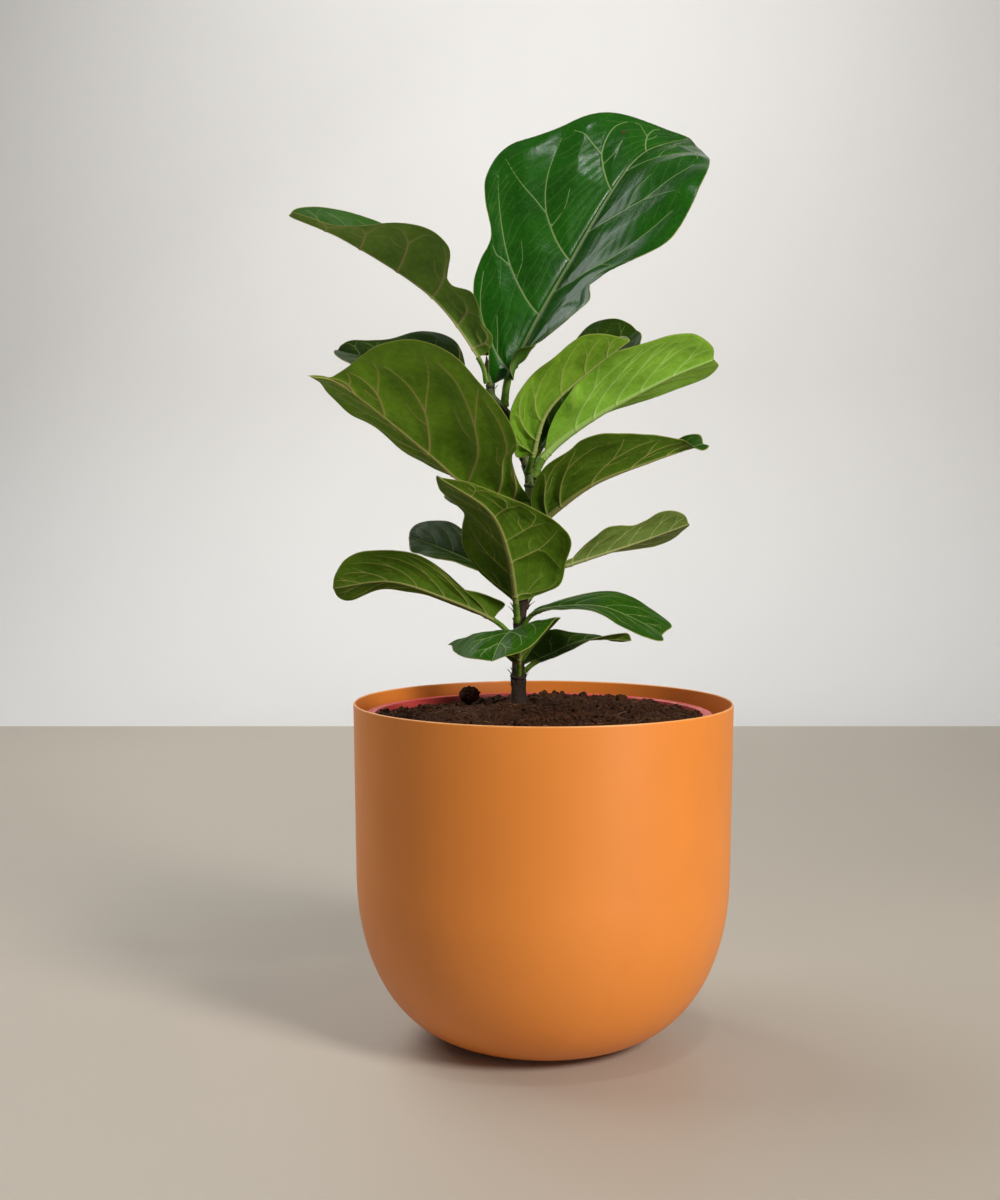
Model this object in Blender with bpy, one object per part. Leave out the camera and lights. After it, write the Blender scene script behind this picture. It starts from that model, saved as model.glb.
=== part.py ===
"""A young fiddle-leaf fig in a red nursery pot that stands inside an orange metal planter."""
import math

import bmesh
import bpy
import numpy as np

# Lengths are in millimetres here and turn into metres when a mesh is made.
# The planter stands on z = 0 with its axis on x = y = 0; the plant is seen from -Y.
MM = 0.001

# Planter: thin sheet, U-shaped, with a broad curved foot.
RIM_R = 125.0
WALL_TAPER = 1.5
HEIGHT = 223.0
CORNER_H = 115.0
CORNER_POWER = 2.2
BASE_R = 42.0
SHEET = 1.5
PLANTER_SEGMENTS = 56
WALL_R = RIM_R - WALL_TAPER

# Nursery pot: tapered, with a flat rolled lip and drainage holes in its floor.
POT_X = -3.0
POT_Y = 0.0
LIP_CLEARANCE = 8.5
LIP_WIDTH = 7.0
LIP_DROP = 9.0
LIP_THICK = 1.6
RIM_TO_LIP = 7.5
POT_TAPER = 35.0
POT_WALL = 1.4
POT_SEGMENTS = 48
DRAIN_R = 5.0
DRAIN_RING_R = 55.0
DRAIN_COUNT = 6
LIP_R = RIM_R - SHEET - LIP_CLEARANCE
LIP_INNER_R = LIP_R - LIP_WIDTH
LIP_TOP = HEIGHT - RIM_TO_LIP
POT_BASE_R = LIP_R - POT_TAPER

# Clearances between neighbouring pieces.
REST_GAP = 0.4
CLOD_GAP = 1.0
SOIL_GAP = 0.5
STEM_GAP = 0.5
LEAF_GAP = 0.5

# Soil: heaped a little round the stem, sunk at the back left.
SOIL_DROP = 2.0
STEM_MOUND = 6.0
MOUND_SPREAD = 30.0
SINK = 4.0
SOIL_RINGS = 6
SOIL_LEVEL = LIP_TOP - SOIL_DROP

# Stem: path of the axis from the root end to the tip, each point with its height above the
# soil and its share of the stem's radius.
STEM_R = 4.2
STEM = (
    (-16, 15, -73, 0.6), (-16, 15, -38, 0.9), (-16, 15, 1, 1.03), (-16, 15, 22, 1.0),
    (-16, 15, 42, 0.93), (-14, 15, 76, 0.93), (-11, 15, 109, 0.9), (-8, 15, 136, 0.93),
    (-8, 15, 155, 0.9), (-11, 14, 168, 0.8), (-16, 13, 179, 0.74), (-23, 12, 195, 0.72),
    (-27, 11, 203, 0.67), (-34, 11, 211, 0.6), (-35, 10, 220, 0.52), (-36, 10, 226, 0.42),
)
STEM_SEGMENTS = 10
STEM_ROWS = 32
NODE_SWELL = 0.7
NODE_HEIGHTS = (23, 49, 60, 75, 87, 117, 140, 151, 164, 198, 215)

# Leaves: blade thickness, midrib depth under the blade and petiole radius.
BLADE = 0.9
EDGE = 0.7
MIDRIB = 1.5
PETIOLE_R = 1.7
PETIOLE_LEAN = 0.8
SWEEP = 1.35
HALF_COLUMNS = 3
BLADE_ROWS = 10
PETIOLE_ROWS = 3


def plain_outline(width, base=0.4):
    """A fiddle-shaped half outline: narrow below, widest past the middle, blunt at the tip."""
    return (
        (0.0, width * base * 0.4), (0.05, width * base), (0.2, width * (base + 0.1)),
        (0.4, width * 0.85), (0.58, width), (0.75, width * 0.92), (0.9, width * 0.62),
        (0.97, width * 0.3),
    )


# Each leaf: the midrib path (stem, start of the blade, then to the tip) with heights above
# the soil, the way its upper face looks from base to tip, how far the right and left halves
# fold up (degrees), and each half outline as (fraction along the blade, millimetres out).
LEAVES = {
    "leaf_01": dict(
        path=((-26, 12, 200), (-23, 8, 222), (-13, 10, 242), (-3, 14, 262), (18, 22, 299),
              (47, 34, 349), (70, 50, 378), (104, 82, 395)),
        face=((-0.55, -0.8, 0.15), (-0.55, -0.8, 0.15), (-0.5, -0.8, 0.3), (0.15, -0.35, 0.8)),
        fold=((35, 25), (12, 25), (0, 25)),
        right=((0.01, 8), (0.09, 22), (0.17, 40), (0.23, 49), (0.28, 40), (0.33, 41),
               (0.4, 57), (0.48, 69), (0.6, 71), (0.73, 66), (0.88, 40)),
        left=((-0.01, 10), (0.05, 22), (0.12, 36), (0.24, 53), (0.35, 57), (0.48, 76),
              (0.6, 76), (0.72, 57), (0.8, 45), (0.9, 26)),
        petiole=2.5,
    ),
    "leaf_02": dict(
        path=((-37, 8, 219), (-43, 6, 236), (-73, -5, 274), (-125, -15, 307), (-163, -20, 323)),
        face=((0.65, 0.05, 0.75), (0.5, -0.35, 0.8)),
        fold=((45, 45), (45, 35)),
        right=((-0.02, 12), (0.03, 22), (0.12, 24), (0.25, 26), (0.4, 34), (0.55, 36),
               (0.66, 30), (0.84, 18), (0.95, 7)),
        left=((0, 8), (0.06, 18), (0.19, 24), (0.25, 28), (0.3, 24), (0.36, 30), (0.42, 46),
              (0.51, 51), (0.6, 46), (0.75, 26), (0.88, 8)),
    ),
    "leaf_03": dict(
        path=((-25, 18, 195), (-49, 35, 207), (-83, 55, 229), (-142, 75, 247)),
        face=((0.2, -0.5, 0.85),),
        fold=((15, 15),),
        right=((0, 10), (0.28, 26), (0.41, 45), (0.5, 48), (0.6, 44), (0.78, 24), (0.95, 13)),
        left=plain_outline(42),
    ),
    "leaf_04": dict(
        path=((-8, 18, 163), (-2, 28, 175), (23, 55, 212), (68, 85, 262)),
        face=((-0.45, -0.75, 0.5),),
        fold=((20, 20), (15, 15)),
        right=plain_outline(26),
        left=((0, 8), (0.05, 12), (0.2, 15), (0.4, 22), (0.6, 26), (0.8, 27), (0.92, 23), (0.99, 13)),
    ),
    "leaf_05": dict(
        path=((-10, 10, 161), (-7, 0, 171), (2, -14, 199), (26, -26, 222), (53, -42, 242)),
        face=((-0.4, 0.6, 0.6),),
        fold=((15, 60),),
        right=((-0.03, 10), (0.11, 17), (0.25, 24), (0.38, 26), (0.52, 27), (0.78, 25),
               (0.89, 18), (0.96, 8)),
        left=plain_outline(27),
    ),
    "leaf_06": dict(
        path=((-8, 14, 145), (0, 16, 170), (29, 14, 194), (77, 6, 220), (111, 0, 234)),
        face=((-0.3, 0.7, 0.6), (-0.3, 0.6, 0.6)),
        fold=((10, 50), (10, 15)),
        right=((0, 8), (0.05, 16), (0.2, 24), (0.4, 32), (0.58, 36), (0.66, 33), (0.78, 32),
               (0.92, 22), (0.97, 13)),
        left=((0, 8), (0.1, 16), (0.3, 24), (0.5, 28), (0.7, 30), (0.85, 28), (0.95, 22), (1, 12)),
    ),
    "leaf_07": dict(
        path=((-9, 13, 139), (-18, 5, 142), (-51, -24, 153), (-74, -45, 172), (-122, -80, 210),
              (-143, -90, 216)),
        face=((0.45, 0.6, 0.6),),
        fold=((25, 10), (20, 10)),
        right=((0, 8), (0.05, 25), (0.16, 32), (0.35, 38), (0.55, 39), (0.67, 48), (0.8, 40),
               (0.89, 26), (0.95, 10)),
        left=((-0.08, 2), (0, 10), (0.11, 23), (0.24, 40), (0.43, 62), (0.54, 68), (0.63, 70),
              (0.76, 72), (0.84, 60), (0.89, 42), (0.9, 25), (0.93, 8)),
    ),
    "leaf_08": dict(
        path=((-11, 12, 119), (0, 0, 129), (31, -18, 152), (69, -26, 167), (102, -22, 178)),
        face=((-0.35, 0.3, 0.9), (-0.3, 0.1, 0.95)),
        fold=((40, 40),),
        right=((0, 10), (0.08, 20), (0.24, 31), (0.38, 33), (0.5, 34), (0.58, 32), (0.7, 24),
               (0.82, 15), (0.91, 7)),
        left=plain_outline(30, 0.5),
    ),
    "leaf_09": dict(
        path=((-11, 20, 116), (-32, 35, 126), (-63, 60, 143)),
        face=((0.2, -0.3, 1), (0.2, -0.2, 1)),
        fold=((20, 20),),
        right=plain_outline(22),
        left=plain_outline(22),
    ),
    "leaf_10": dict(
        path=((-12, 20, 89), (16, 30, 98), (64, 40, 113), (101, 46, 126)),
        face=((-0.1, 0.55, 0.8), (0, 0.6, 0.8)),
        fold=((20, 20),),
        right=((0, 4), (0.12, 9), (0.3, 15), (0.5, 12), (0.7, 14), (0.85, 13), (0.96, 8)),
        left=((0, 4), (0.12, 9), (0.3, 14), (0.5, 14), (0.7, 18), (0.85, 18), (0.96, 10)),
    ),
    "leaf_11": dict(
        path=((-14, 20, 82), (-30, 38, 90), (-60, 60, 104), (-93, 86, 116)),
        face=((0.1, -0.7, 0.7), (0.1, -0.6, 0.8)),
        fold=((15, 5), (10, 5)),
        right=((0, 6), (0.2, 14), (0.4, 24), (0.6, 27), (0.8, 24), (0.95, 18), (1, 10)),
        left=((0, 6), (0.2, 12), (0.4, 18), (0.6, 20), (0.8, 19), (0.95, 15), (1, 8)),
    ),
    "leaf_12": dict(
        path=((-14, 24, 73), (-8, 45, 76), (4, 105, 85)),
        face=((0, -0.2, 1), (0, 0.2, 1)),
        fold=((20, 20),),
        right=plain_outline(24),
        left=plain_outline(24),
    ),
    "leaf_13": dict(
        path=((-17, 12, 61), (-18, 4, 75), (-23, -20, 107), (-35, -60, 135), (-64, -118, 155)),
        face=((0, 0.8, 0.6), (0.3, 0.6, 0.7)),
        fold=((20, 20),),
        right=((0.02, 7), (0.07, 17), (0.14, 27), (0.24, 33), (0.36, 30), (0.48, 24),
               (0.59, 24), (0.72, 23), (0.88, 14)),
        left=((-0.01, 8), (0, 21), (0.03, 32), (0.13, 37), (0.22, 42), (0.32, 37), (0.46, 24),
              (0.65, 12), (0.85, 7)),
        petiole=2.1,
    ),
    "leaf_14": dict(
        path=((-14, 12, 57), (-6, 6, 67), (10, -2, 72), (38, -20, 73), (64, -38, 63),
              (74, -46, 57)),
        face=((0, -0.3, 1), (0.1, -0.3, 1), (0.3, -0.3, 1)),
        fold=((0, 12), (0, 15), (0, 8)),
        right=((0, 4), (0.1, 5), (0.2, 9), (0.35, 18), (0.5, 22), (0.65, 24), (0.8, 20), (0.92, 12)),
        left=((0, 4), (0.1, 5), (0.2, 8), (0.3, 14), (0.44, 22), (0.6, 23), (0.74, 21),
              (0.88, 19), (0.96, 14)),
    ),
    "leaf_15": dict(
        path=((-18, 14, 49), (-33, 6, 63), (-63, 0, 77), (-100, -8, 89), (-137, -14, 85)),
        face=((0.3, 0.8, 0.6), (0.1, 0.7, 0.7)),
        fold=((15, 15),),
        right=((0, 5), (0.08, 6), (0.21, 6), (0.41, 6), (0.54, 9), (0.75, 14), (0.9, 19), (0.97, 14)),
        left=((0, 14), (0.07, 14), (0.15, 13), (0.26, 11), (0.36, 15), (0.45, 20), (0.57, 24),
              (0.73, 25), (0.82, 24), (0.91, 19), (0.98, 9)),
    ),
    "leaf_16": dict(
        path=((-16, 12, 25), (-17, 2, 34), (-19, -22, 49), (-25, -58, 59), (-34, -88, 57),
              (-39, -108, 47)),
        face=((-0.2, 0.5, 0.8), (-0.25, 0, 1), (-0.25, -0.6, 0.8)),
        fold=((12, 12), (-6, -3)),
        right=((0, 5), (0.1, 12), (0.25, 22), (0.45, 33), (0.6, 38), (0.78, 36), (0.93, 26), (0.99, 12)),
        left=((0, 5), (0.1, 12), (0.25, 24), (0.42, 34), (0.55, 37), (0.75, 34), (0.92, 24), (0.99, 11)),
    ),
    "leaf_17": dict(
        path=((-13, 14, 22), (-2, 20, 33), (23, 34, 44), (40, 44, 47), (63, 56, 45)),
        face=((0, -0.75, 0.7), (0, -0.7, 0.7), (0, -0.1, 1), (0, 0.7, 0.7)),
        fold=((25, 10), (15, 10)),
        right=((0, 6), (0.15, 12), (0.3, 15), (0.45, 10), (0.6, 7), (0.8, 9), (0.93, 6)),
        left=((0, 6), (0.15, 12), (0.3, 12), (0.45, 9), (0.6, 9), (0.8, 10), (0.93, 6)),
    ),
}

# Dry scales that clasp the stem: height above the soil, side of the stem in degrees, then
# length, outward lean and greatest half width.
SCALES = {
    "stipule_1": (193, -70, 17, 3.0, 1.6),
    "stipule_2": (164, -120, 11, 3.0, 1.4),
    "stipule_3": (144, -45, 18, 5.0, 1.5),
    "stipule_4": (69, -5, 10, 3.5, 2.0),
    "stipule_5": (66, 172, 9, 3.0, 1.5),
    "stipule_6": (14, -130, 11, 3.5, 1.5),
}
BUD_LENGTH = 12.0
BUD_R = 1.8

# Loose lumps on the soil: side in degrees, share of the soil's radius, and half sizes.
CLODS = {
    "soil_clod_1": (121, 0.9, (6.5, 6.0, 5.0)),
    "soil_clod_2": (151, 0.86, (5.5, 6.5, 4.0)),
    "soil_clod_3": (48, 0.88, (5.0, 4.5, 3.2)),
}

COLOURS = {
    "planter": ((0.80, 0.27, 0.045, 1), 0.38, 0.3),
    "nursery_pot": ((0.60, 0.055, 0.045, 1), 0.45, 0.0),
    "soil": ((0.035, 0.019, 0.010, 1), 0.95, 0.0),
    "stem": ((0.055, 0.050, 0.022, 1), 0.8, 0.0),
    "scale": ((0.060, 0.018, 0.012, 1), 0.7, 0.0),
    "leaf": ((0.045, 0.165, 0.018, 1), 0.35, 0.0),
}


def material(name, kind):
    colour, roughness, metallic = COLOURS[kind]
    made = bpy.data.materials.new(name)
    made.use_nodes = True
    shader = made.node_tree.nodes["Principled BSDF"]
    shader.inputs["Base Color"].default_value = colour
    shader.inputs["Roughness"].default_value = roughness
    shader.inputs["Metallic"].default_value = metallic
    return made


def add_object(name, kind, points, faces):
    """One smooth-shaded object from points in millimetres and faces that look outwards."""
    mesh = bpy.data.meshes.new(name)
    mesh.from_pydata([tuple(p) for p in np.asarray(points) * MM], [], faces)
    shell = bmesh.new()
    shell.from_mesh(mesh)
    bmesh.ops.recalc_face_normals(shell, faces=shell.faces)
    if shell.calc_volume(signed=True) < 0:
        bmesh.ops.reverse_faces(shell, faces=shell.faces)
    shell.to_mesh(mesh)
    shell.free()
    mesh.shade_smooth()
    mesh.materials.append(material(name, kind))
    obj = bpy.data.objects.new(name, mesh)
    bpy.context.scene.collection.objects.link(obj)
    return obj


def loft(rings, start, end):
    """A closed body through rings of equal count, with one point at each end."""
    count = len(rings[0])
    points = [start] + [p for ring in rings for p in ring] + [end]
    last = len(points) - 1
    faces = []
    for k in range(count):
        after = (k + 1) % count
        faces.append((0, 1 + after, 1 + k))
        final = 1 + (len(rings) - 1) * count
        faces.append((last, final + k, final + after))
        for row in range(len(rings) - 1):
            a = 1 + row * count
            faces.append((a + k, a + after, a + count + after, a + count + k))
    return points, faces


def circle(centre, radius, z, segments):
    turns = [2 * math.pi * k / segments for k in range(segments)]
    return [(centre[0] + radius * math.cos(a), centre[1] + radius * math.sin(a), z) for a in turns]


def turned(name, kind, profile, centre, segments):
    """Revolve a profile that starts and ends on the axis."""
    rings = [circle(centre, r, z, segments) for r, z in profile[1:-1]]
    start = (centre[0], centre[1], profile[0][1])
    end = (centre[0], centre[1], profile[-1][1])
    return add_object(name, kind, *loft(rings, start, end))


def catmull(points, at):
    """Points of a smooth curve through the given ones, at = 0 to 1."""
    p = np.asarray(points, float)
    p = np.vstack([2 * p[0] - p[1], p, 2 * p[-1] - p[-2]])
    spans = len(p) - 3
    t = np.clip(at, 0, 1) * spans
    i = np.minimum(t.astype(int), spans - 1)
    u = (t - i)[:, None]
    a, b, c, d = p[i], p[i + 1], p[i + 2], p[i + 3]
    square = (2 * a - 5 * b + 4 * c - d) * u ** 2
    cube = (3 * b - a - 3 * c + d) * u ** 3
    return 0.5 * (2 * b + (c - a) * u + square + cube)


def planter_curve(inset, steps=9):
    """(radius, height) up the planter's foot and wall, moved in by inset along its normal."""
    t = np.linspace(0, math.pi / 2, steps)
    power = 2 / CORNER_POWER
    radius = BASE_R + (WALL_R - BASE_R) * np.sin(t) ** power
    height = CORNER_H * (1 - np.cos(t) ** power)
    radius = np.append(radius, RIM_R)
    height = np.append(height, HEIGHT)
    slope_r = np.gradient(radius)
    slope_z = np.gradient(height)
    slope_r[0] = 1.0
    slope_z[0] = 0.0
    slope_r[-1] = RIM_R - WALL_R
    slope_z[-1] = HEIGHT - CORNER_H
    size = np.hypot(slope_r, slope_z)
    return radius - inset * slope_z / size, height + inset * slope_r / size


def build_planter():
    outer_r, outer_z = planter_curve(0)
    inner_r, inner_z = planter_curve(SHEET)
    profile = [(0, 0)] + list(zip(outer_r[:-1], outer_z[:-1]))
    profile += [(RIM_R, HEIGHT - 0.6), (RIM_R - 0.45, HEIGHT), (RIM_R - SHEET + 0.45, HEIGHT)]
    profile += [(RIM_R - SHEET, HEIGHT - 0.6)]
    profile += list(zip(inner_r[:-1], inner_z[:-1]))[::-1] + [(0, SHEET)]
    turned("planter", "planter", profile, (0, 0), PLANTER_SEGMENTS)


def pot_base_height():
    """The nursery pot stands where its foot meets the inside of the planter's curve."""
    radius, height = planter_curve(SHEET)
    reach = POT_BASE_R + math.hypot(POT_X, POT_Y) + REST_GAP
    return float(np.interp(reach, radius, height)) + REST_GAP


POT_BASE_Z = pot_base_height()


def pot_inner_radius(z):
    rise = (z - POT_BASE_Z) / (LIP_TOP - POT_BASE_Z)
    return POT_BASE_R - POT_WALL + (LIP_INNER_R - POT_BASE_R + POT_WALL) * rise


def build_nursery_pot():
    floor_z = POT_BASE_Z + POT_WALL
    under_lip = LIP_TOP - LIP_DROP
    profile = [
        (0, POT_BASE_Z),
        (POT_BASE_R, POT_BASE_Z),
        (pot_inner_radius(under_lip + 3) + POT_WALL, under_lip + 3),
        (LIP_R - LIP_THICK, LIP_TOP - LIP_THICK),
        (LIP_R - LIP_THICK, under_lip),
        (LIP_R - 0.3, under_lip),
        (LIP_R, LIP_TOP - 1.0),
        (LIP_R - 1.0, LIP_TOP),
        (LIP_INNER_R + 0.4, LIP_TOP),
        (LIP_INNER_R, LIP_TOP - 0.5),
        (pot_inner_radius(floor_z), floor_z),
        (0, floor_z),
    ]
    pot = turned("nursery_pot", "nursery_pot", profile, (POT_X, POT_Y), POT_SEGMENTS)
    for k in range(DRAIN_COUNT):
        turn = 2 * math.pi * (k + 0.5) / DRAIN_COUNT
        centre = (POT_X + DRAIN_RING_R * math.cos(turn), POT_Y + DRAIN_RING_R * math.sin(turn))
        low, high = POT_BASE_Z - 5, floor_z + 5
        drill = turned(
            f"drain_{k}", "nursery_pot",
            [(0, low), (DRAIN_R, low), (DRAIN_R, high), (0, high)], centre, 16,
        )
        cut = pot.modifiers.new(f"drain_{k}", "BOOLEAN")
        cut.operation = "DIFFERENCE"
        cut.solver = "EXACT"
        cut.object = drill
        drill.hide_render = True


def stem_path(steps):
    """(x, y, z, radius) along the stem, with its knots at the nodes."""
    path = catmull(STEM, np.linspace(0, 1, steps))
    knots = [min(node_swell(height), NODE_SWELL) for height in path[:, 2]]
    path[:, 2] += SOIL_LEVEL
    path[:, 3] = path[:, 3] * STEM_R + knots
    return path


def node_swell(height):
    return NODE_SWELL * sum(math.exp(-((height - at) / 3.0) ** 2) for at in NODE_HEIGHTS)


STEM_LINE = stem_path(400)


def stem_at(z):
    """Axis and radius of the stem at height z."""
    return [float(np.interp(z, STEM_LINE[:, 2], STEM_LINE[:, k])) for k in (0, 1, 3)]


def soil_height(x, y):
    """Height of the soil surface, uneven as loose compost is."""
    stem_x, stem_y, _ = stem_at(SOIL_LEVEL)
    near_stem = (x - stem_x) ** 2 + (y - stem_y) ** 2
    mound = STEM_MOUND * math.exp(-near_stem / MOUND_SPREAD ** 2)
    sunk = SINK * math.exp(-((x + 85) ** 2 + (y - 60) ** 2) / 45 ** 2)
    heap = 4.5 * math.exp(-((x - 35) ** 2 + (y - 95) ** 2) / 35 ** 2)
    ripple = 0.9 * math.sin(x / 8.5 + 1.0) * math.cos(y / 7.5) + 0.6 * math.sin((x - 2 * y) / 11)
    return SOIL_LEVEL + mound - sunk + heap + ripple


def build_soil():
    x, y, radius = stem_at(SOIL_LEVEL + STEM_MOUND)
    hole_r = radius + STEM_GAP
    hole_floor = STEM_LINE[0][2] - STEM_LINE[0][3] - REST_GAP
    bottom = POT_BASE_Z + POT_WALL + REST_GAP
    inner = circle((x, y), hole_r, 0, POT_SEGMENTS)
    rings = [[(p[0], p[1], hole_floor) for p in inner]]
    for k in range(SOIL_RINGS + 1):
        share = (k / SOIL_RINGS) ** 0.8
        ring = []
        for turn in range(POT_SEGMENTS):
            angle = 2 * math.pi * turn / POT_SEGMENTS
            out = (math.cos(angle), math.sin(angle))
            reach = pot_inner_radius(SOIL_LEVEL) - SOIL_GAP
            edge = (POT_X + reach * out[0], POT_Y + reach * out[1])
            px = inner[turn][0] + (edge[0] - inner[turn][0]) * share
            py = inner[turn][1] + (edge[1] - inner[turn][1]) * share
            height = soil_height(px, py)
            if k == SOIL_RINGS:
                reach = min(pot_inner_radius(height), LIP_INNER_R) - SOIL_GAP
                px, py = POT_X + reach * out[0], POT_Y + reach * out[1]
            ring.append((px, py, height))
        rings.append(ring)
    low_r = pot_inner_radius(bottom) - SOIL_GAP
    rings.append(circle((POT_X, POT_Y), low_r, bottom, POT_SEGMENTS))
    points, faces = loft(rings, (x, y, hole_floor), (POT_X, POT_Y, bottom))
    add_object("soil", "soil", points, faces)


def tube(path, radii, segments):
    """A closed round body along a path, with its own radius at each point."""
    path = np.asarray(path, float)
    along = np.gradient(path, axis=0)
    along /= np.linalg.norm(along, axis=1)[:, None]
    side = np.cross(along, (0.0, 1.0, 0.0))
    side /= np.linalg.norm(side, axis=1)[:, None]
    over = np.cross(side, along)
    rings = []
    for centre, radius, right, up in zip(path, radii, side, over):
        turns = [2 * math.pi * k / segments for k in range(segments)]
        rings.append([centre + radius * (math.cos(a) * right + math.sin(a) * up) for a in turns])
    start = path[0] - along[0] * radii[0] * 0.6
    end = path[-1] + along[-1] * radii[-1] * 0.6
    return loft(rings, start, end)


def build_stem():
    path = stem_path(STEM_ROWS)
    add_object("stem", "stem", *tube(path[:, :3], path[:, 3], STEM_SEGMENTS))


def stem_clearance(point):
    """Distance from a point to the stem's surface."""
    away = np.linalg.norm(STEM_LINE[:, :3] - point, axis=1)
    near = int(np.argmin(away))
    return away[near] - STEM_LINE[near, 3]


class Leaf:
    """One leaf: a petiole that runs into a folded blade with a midrib underneath."""

    def __init__(self, path, face, fold, right, left, petiole=PETIOLE_R):
        path = np.asarray(path, float) + (0, 0, SOIL_LEVEL)
        self.curve = catmull(path, np.linspace(0, 1, 400))
        steps = np.linalg.norm(np.diff(self.curve, axis=0), axis=1)
        run = np.append(0, np.cumsum(steps))
        base = run[np.argmin(np.linalg.norm(self.curve - path[1], axis=1))]
        self.run = run - base
        self.length = self.run[-1]
        along = np.gradient(self.curve, axis=0)
        self.along = along / np.linalg.norm(along, axis=1)[:, None]
        self.face = np.asarray(face, float)
        self.fold = np.asarray(fold, float)
        self.petiole = petiole
        self.margins = [self.margin(half) for half in (right, left)]

    def margin(self, half):
        """The half outline as (share of its length, fraction along, millimetres out)."""
        line = catmull([(0, 1), *half, (1, 0)], np.linspace(0, 1, 300))
        line[:, 1] = line[:, 1].clip(0)
        steps = np.hypot(np.diff(line[:, 0]) * self.length, np.diff(line[:, 1]))
        run = np.append(0, np.cumsum(steps))
        return np.column_stack([run / run[-1], line])

    def axes(self, s):
        """Centre, direction, upper normal and right-hand side at distance s from the blade base."""
        centre = np.array([np.interp(s, self.run, self.curve[:, k]) for k in range(3)])
        along = np.array([np.interp(s, self.run, self.along[:, k]) for k in range(3)])
        along /= np.linalg.norm(along)
        share = np.clip(s / self.length, 0, 1)
        at = np.linspace(0, 1, len(self.face))
        face = np.array([np.interp(share, at, self.face[:, k]) for k in range(3)])
        normal = face - face.dot(along) * along
        normal /= np.linalg.norm(normal)
        centre = centre + along * max(s - self.length, 0)
        return centre, along, normal, np.cross(along, normal)

    def surface(self, s, out):
        """Point and upper normal of the blade, out is positive on the right half."""
        centre, _, normal, right = self.axes(s)
        share = np.clip(s / self.length, 0, 1)
        half = 0 if out >= 0 else 1
        at = np.linspace(0, 1, len(self.fold))
        fold = math.radians(np.interp(share, at, self.fold[:, half]))
        sign = 1 if half == 0 else -1
        point = centre + out * math.cos(fold) * right + abs(out) * math.sin(fold) * normal
        return point, math.cos(fold) * normal - sign * math.sin(fold) * right

    def row(self, u):
        """(s, out) from the left margin over the midrib to the right margin."""
        found = []
        for half, sign in ((1, -1), (0, 1)):
            margin = self.margins[half]
            along = np.interp(u, margin[:, 0], margin[:, 1])
            width = np.interp(u, margin[:, 0], margin[:, 2])
            middle = u ** 2
            for k in range(HALF_COLUMNS + 1):
                q = k / HALF_COLUMNS
                s = self.length * (middle + (along - middle) * q ** SWEEP)
                found.append((s, sign * width * q))
        left = found[:HALF_COLUMNS + 1][::-1]
        return left[:-1] + found[HALF_COLUMNS + 1:]

    def blade_ring(self, u):
        top = []
        bottom = []
        rib = MIDRIB * (1 - 0.75 * u)
        for k, (s, out) in enumerate(self.row(u)):
            point, normal = self.surface(s, out)
            edge = abs(k - HALF_COLUMNS) / HALF_COLUMNS
            thick = BLADE + (EDGE - BLADE) * edge
            under = thick / 2 + (rib if k == HALF_COLUMNS else 0)
            top.append(point + normal * thick / 2)
            bottom.append(point - normal * under)
        return top + bottom[::-1]

    def petiole_ring(self, s, radius):
        centre, _, normal, right = self.axes(s)
        count = 2 * HALF_COLUMNS + 1
        ring = []
        for half in (0, 1):
            for k in range(count):
                turn = math.pi * (1 - (k + 0.5) / count - half)
                ring.append(centre + radius * (math.cos(turn) * right + math.sin(turn) * normal))
        return ring

    def start(self):
        """The petiole begins just clear of the stem."""
        for s in np.linspace(self.run[0], 0, 200):
            centre = self.axes(s)[0]
            if stem_clearance(centre) > LEAF_GAP + self.petiole * PETIOLE_LEAN:
                return s
        return -3.0

    def body(self):
        begin = self.start()
        rings = []
        for s in np.linspace(begin, -0.5, PETIOLE_ROWS):
            rings.append(self.petiole_ring(s, self.petiole))
        for u in np.linspace(0, 0.985, BLADE_ROWS + 1)[1:]:
            rings.append(self.blade_ring(u))
        tip = self.axes(self.length + 0.4)[0]
        return loft(rings, self.axes(begin)[0], tip)


def pointed(name, path, width):
    """A small body, widest below its middle and pointed at its end, flattened front to back."""
    line = catmull(path, np.linspace(0, 1, 7))
    along = np.gradient(line, axis=0)
    along /= np.linalg.norm(along, axis=1)[:, None]
    rings = []
    for k, (centre, forward) in enumerate(zip(line, along)):
        share = k / (len(line) - 1)
        wide = width * (0.55 + 1.2 * share - 1.65 * share ** 2)
        side = np.cross(forward, (0.0, 1.0, 0.0))
        side /= np.linalg.norm(side)
        over = np.cross(side, forward)
        turns = [2 * math.pi * j / 8 for j in range(8)]
        rings.append([centre + wide * (math.cos(a) * side + 0.5 * math.sin(a) * over) for a in turns])
    points, faces = loft(rings, line[0] - along[0] * 0.2, line[-1] + along[-1] * 0.5)
    add_object(name, "scale", points, faces)


def build_scale(name, height, side, length, lean, width):
    """A scale stands just clear of the stem and leans away from it."""
    out = np.array((math.cos(math.radians(side)), math.sin(math.radians(side)), 0.0))
    path = []
    for rise, reach in ((0.0, 0.0), (0.5, 0.45), (1.0, 1.0)):
        x, y, radius = stem_at(SOIL_LEVEL + height + rise * length)
        away = radius + LEAF_GAP + width + reach * lean
        path.append(np.array((x, y, SOIL_LEVEL + height + rise * length)) + away * out)
    pointed(name, path, width)


def build_bud():
    """The closed bud goes on from the tip of the stem."""
    forward = STEM_LINE[-1][:3] - STEM_LINE[-12][:3]
    forward /= np.linalg.norm(forward)
    start = STEM_LINE[-1][:3] + forward * (STEM_LINE[-1][3] + REST_GAP)
    pointed("terminal_bud", [start + forward * BUD_LENGTH * k for k in (0, 0.45, 1)], BUD_R)


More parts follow.
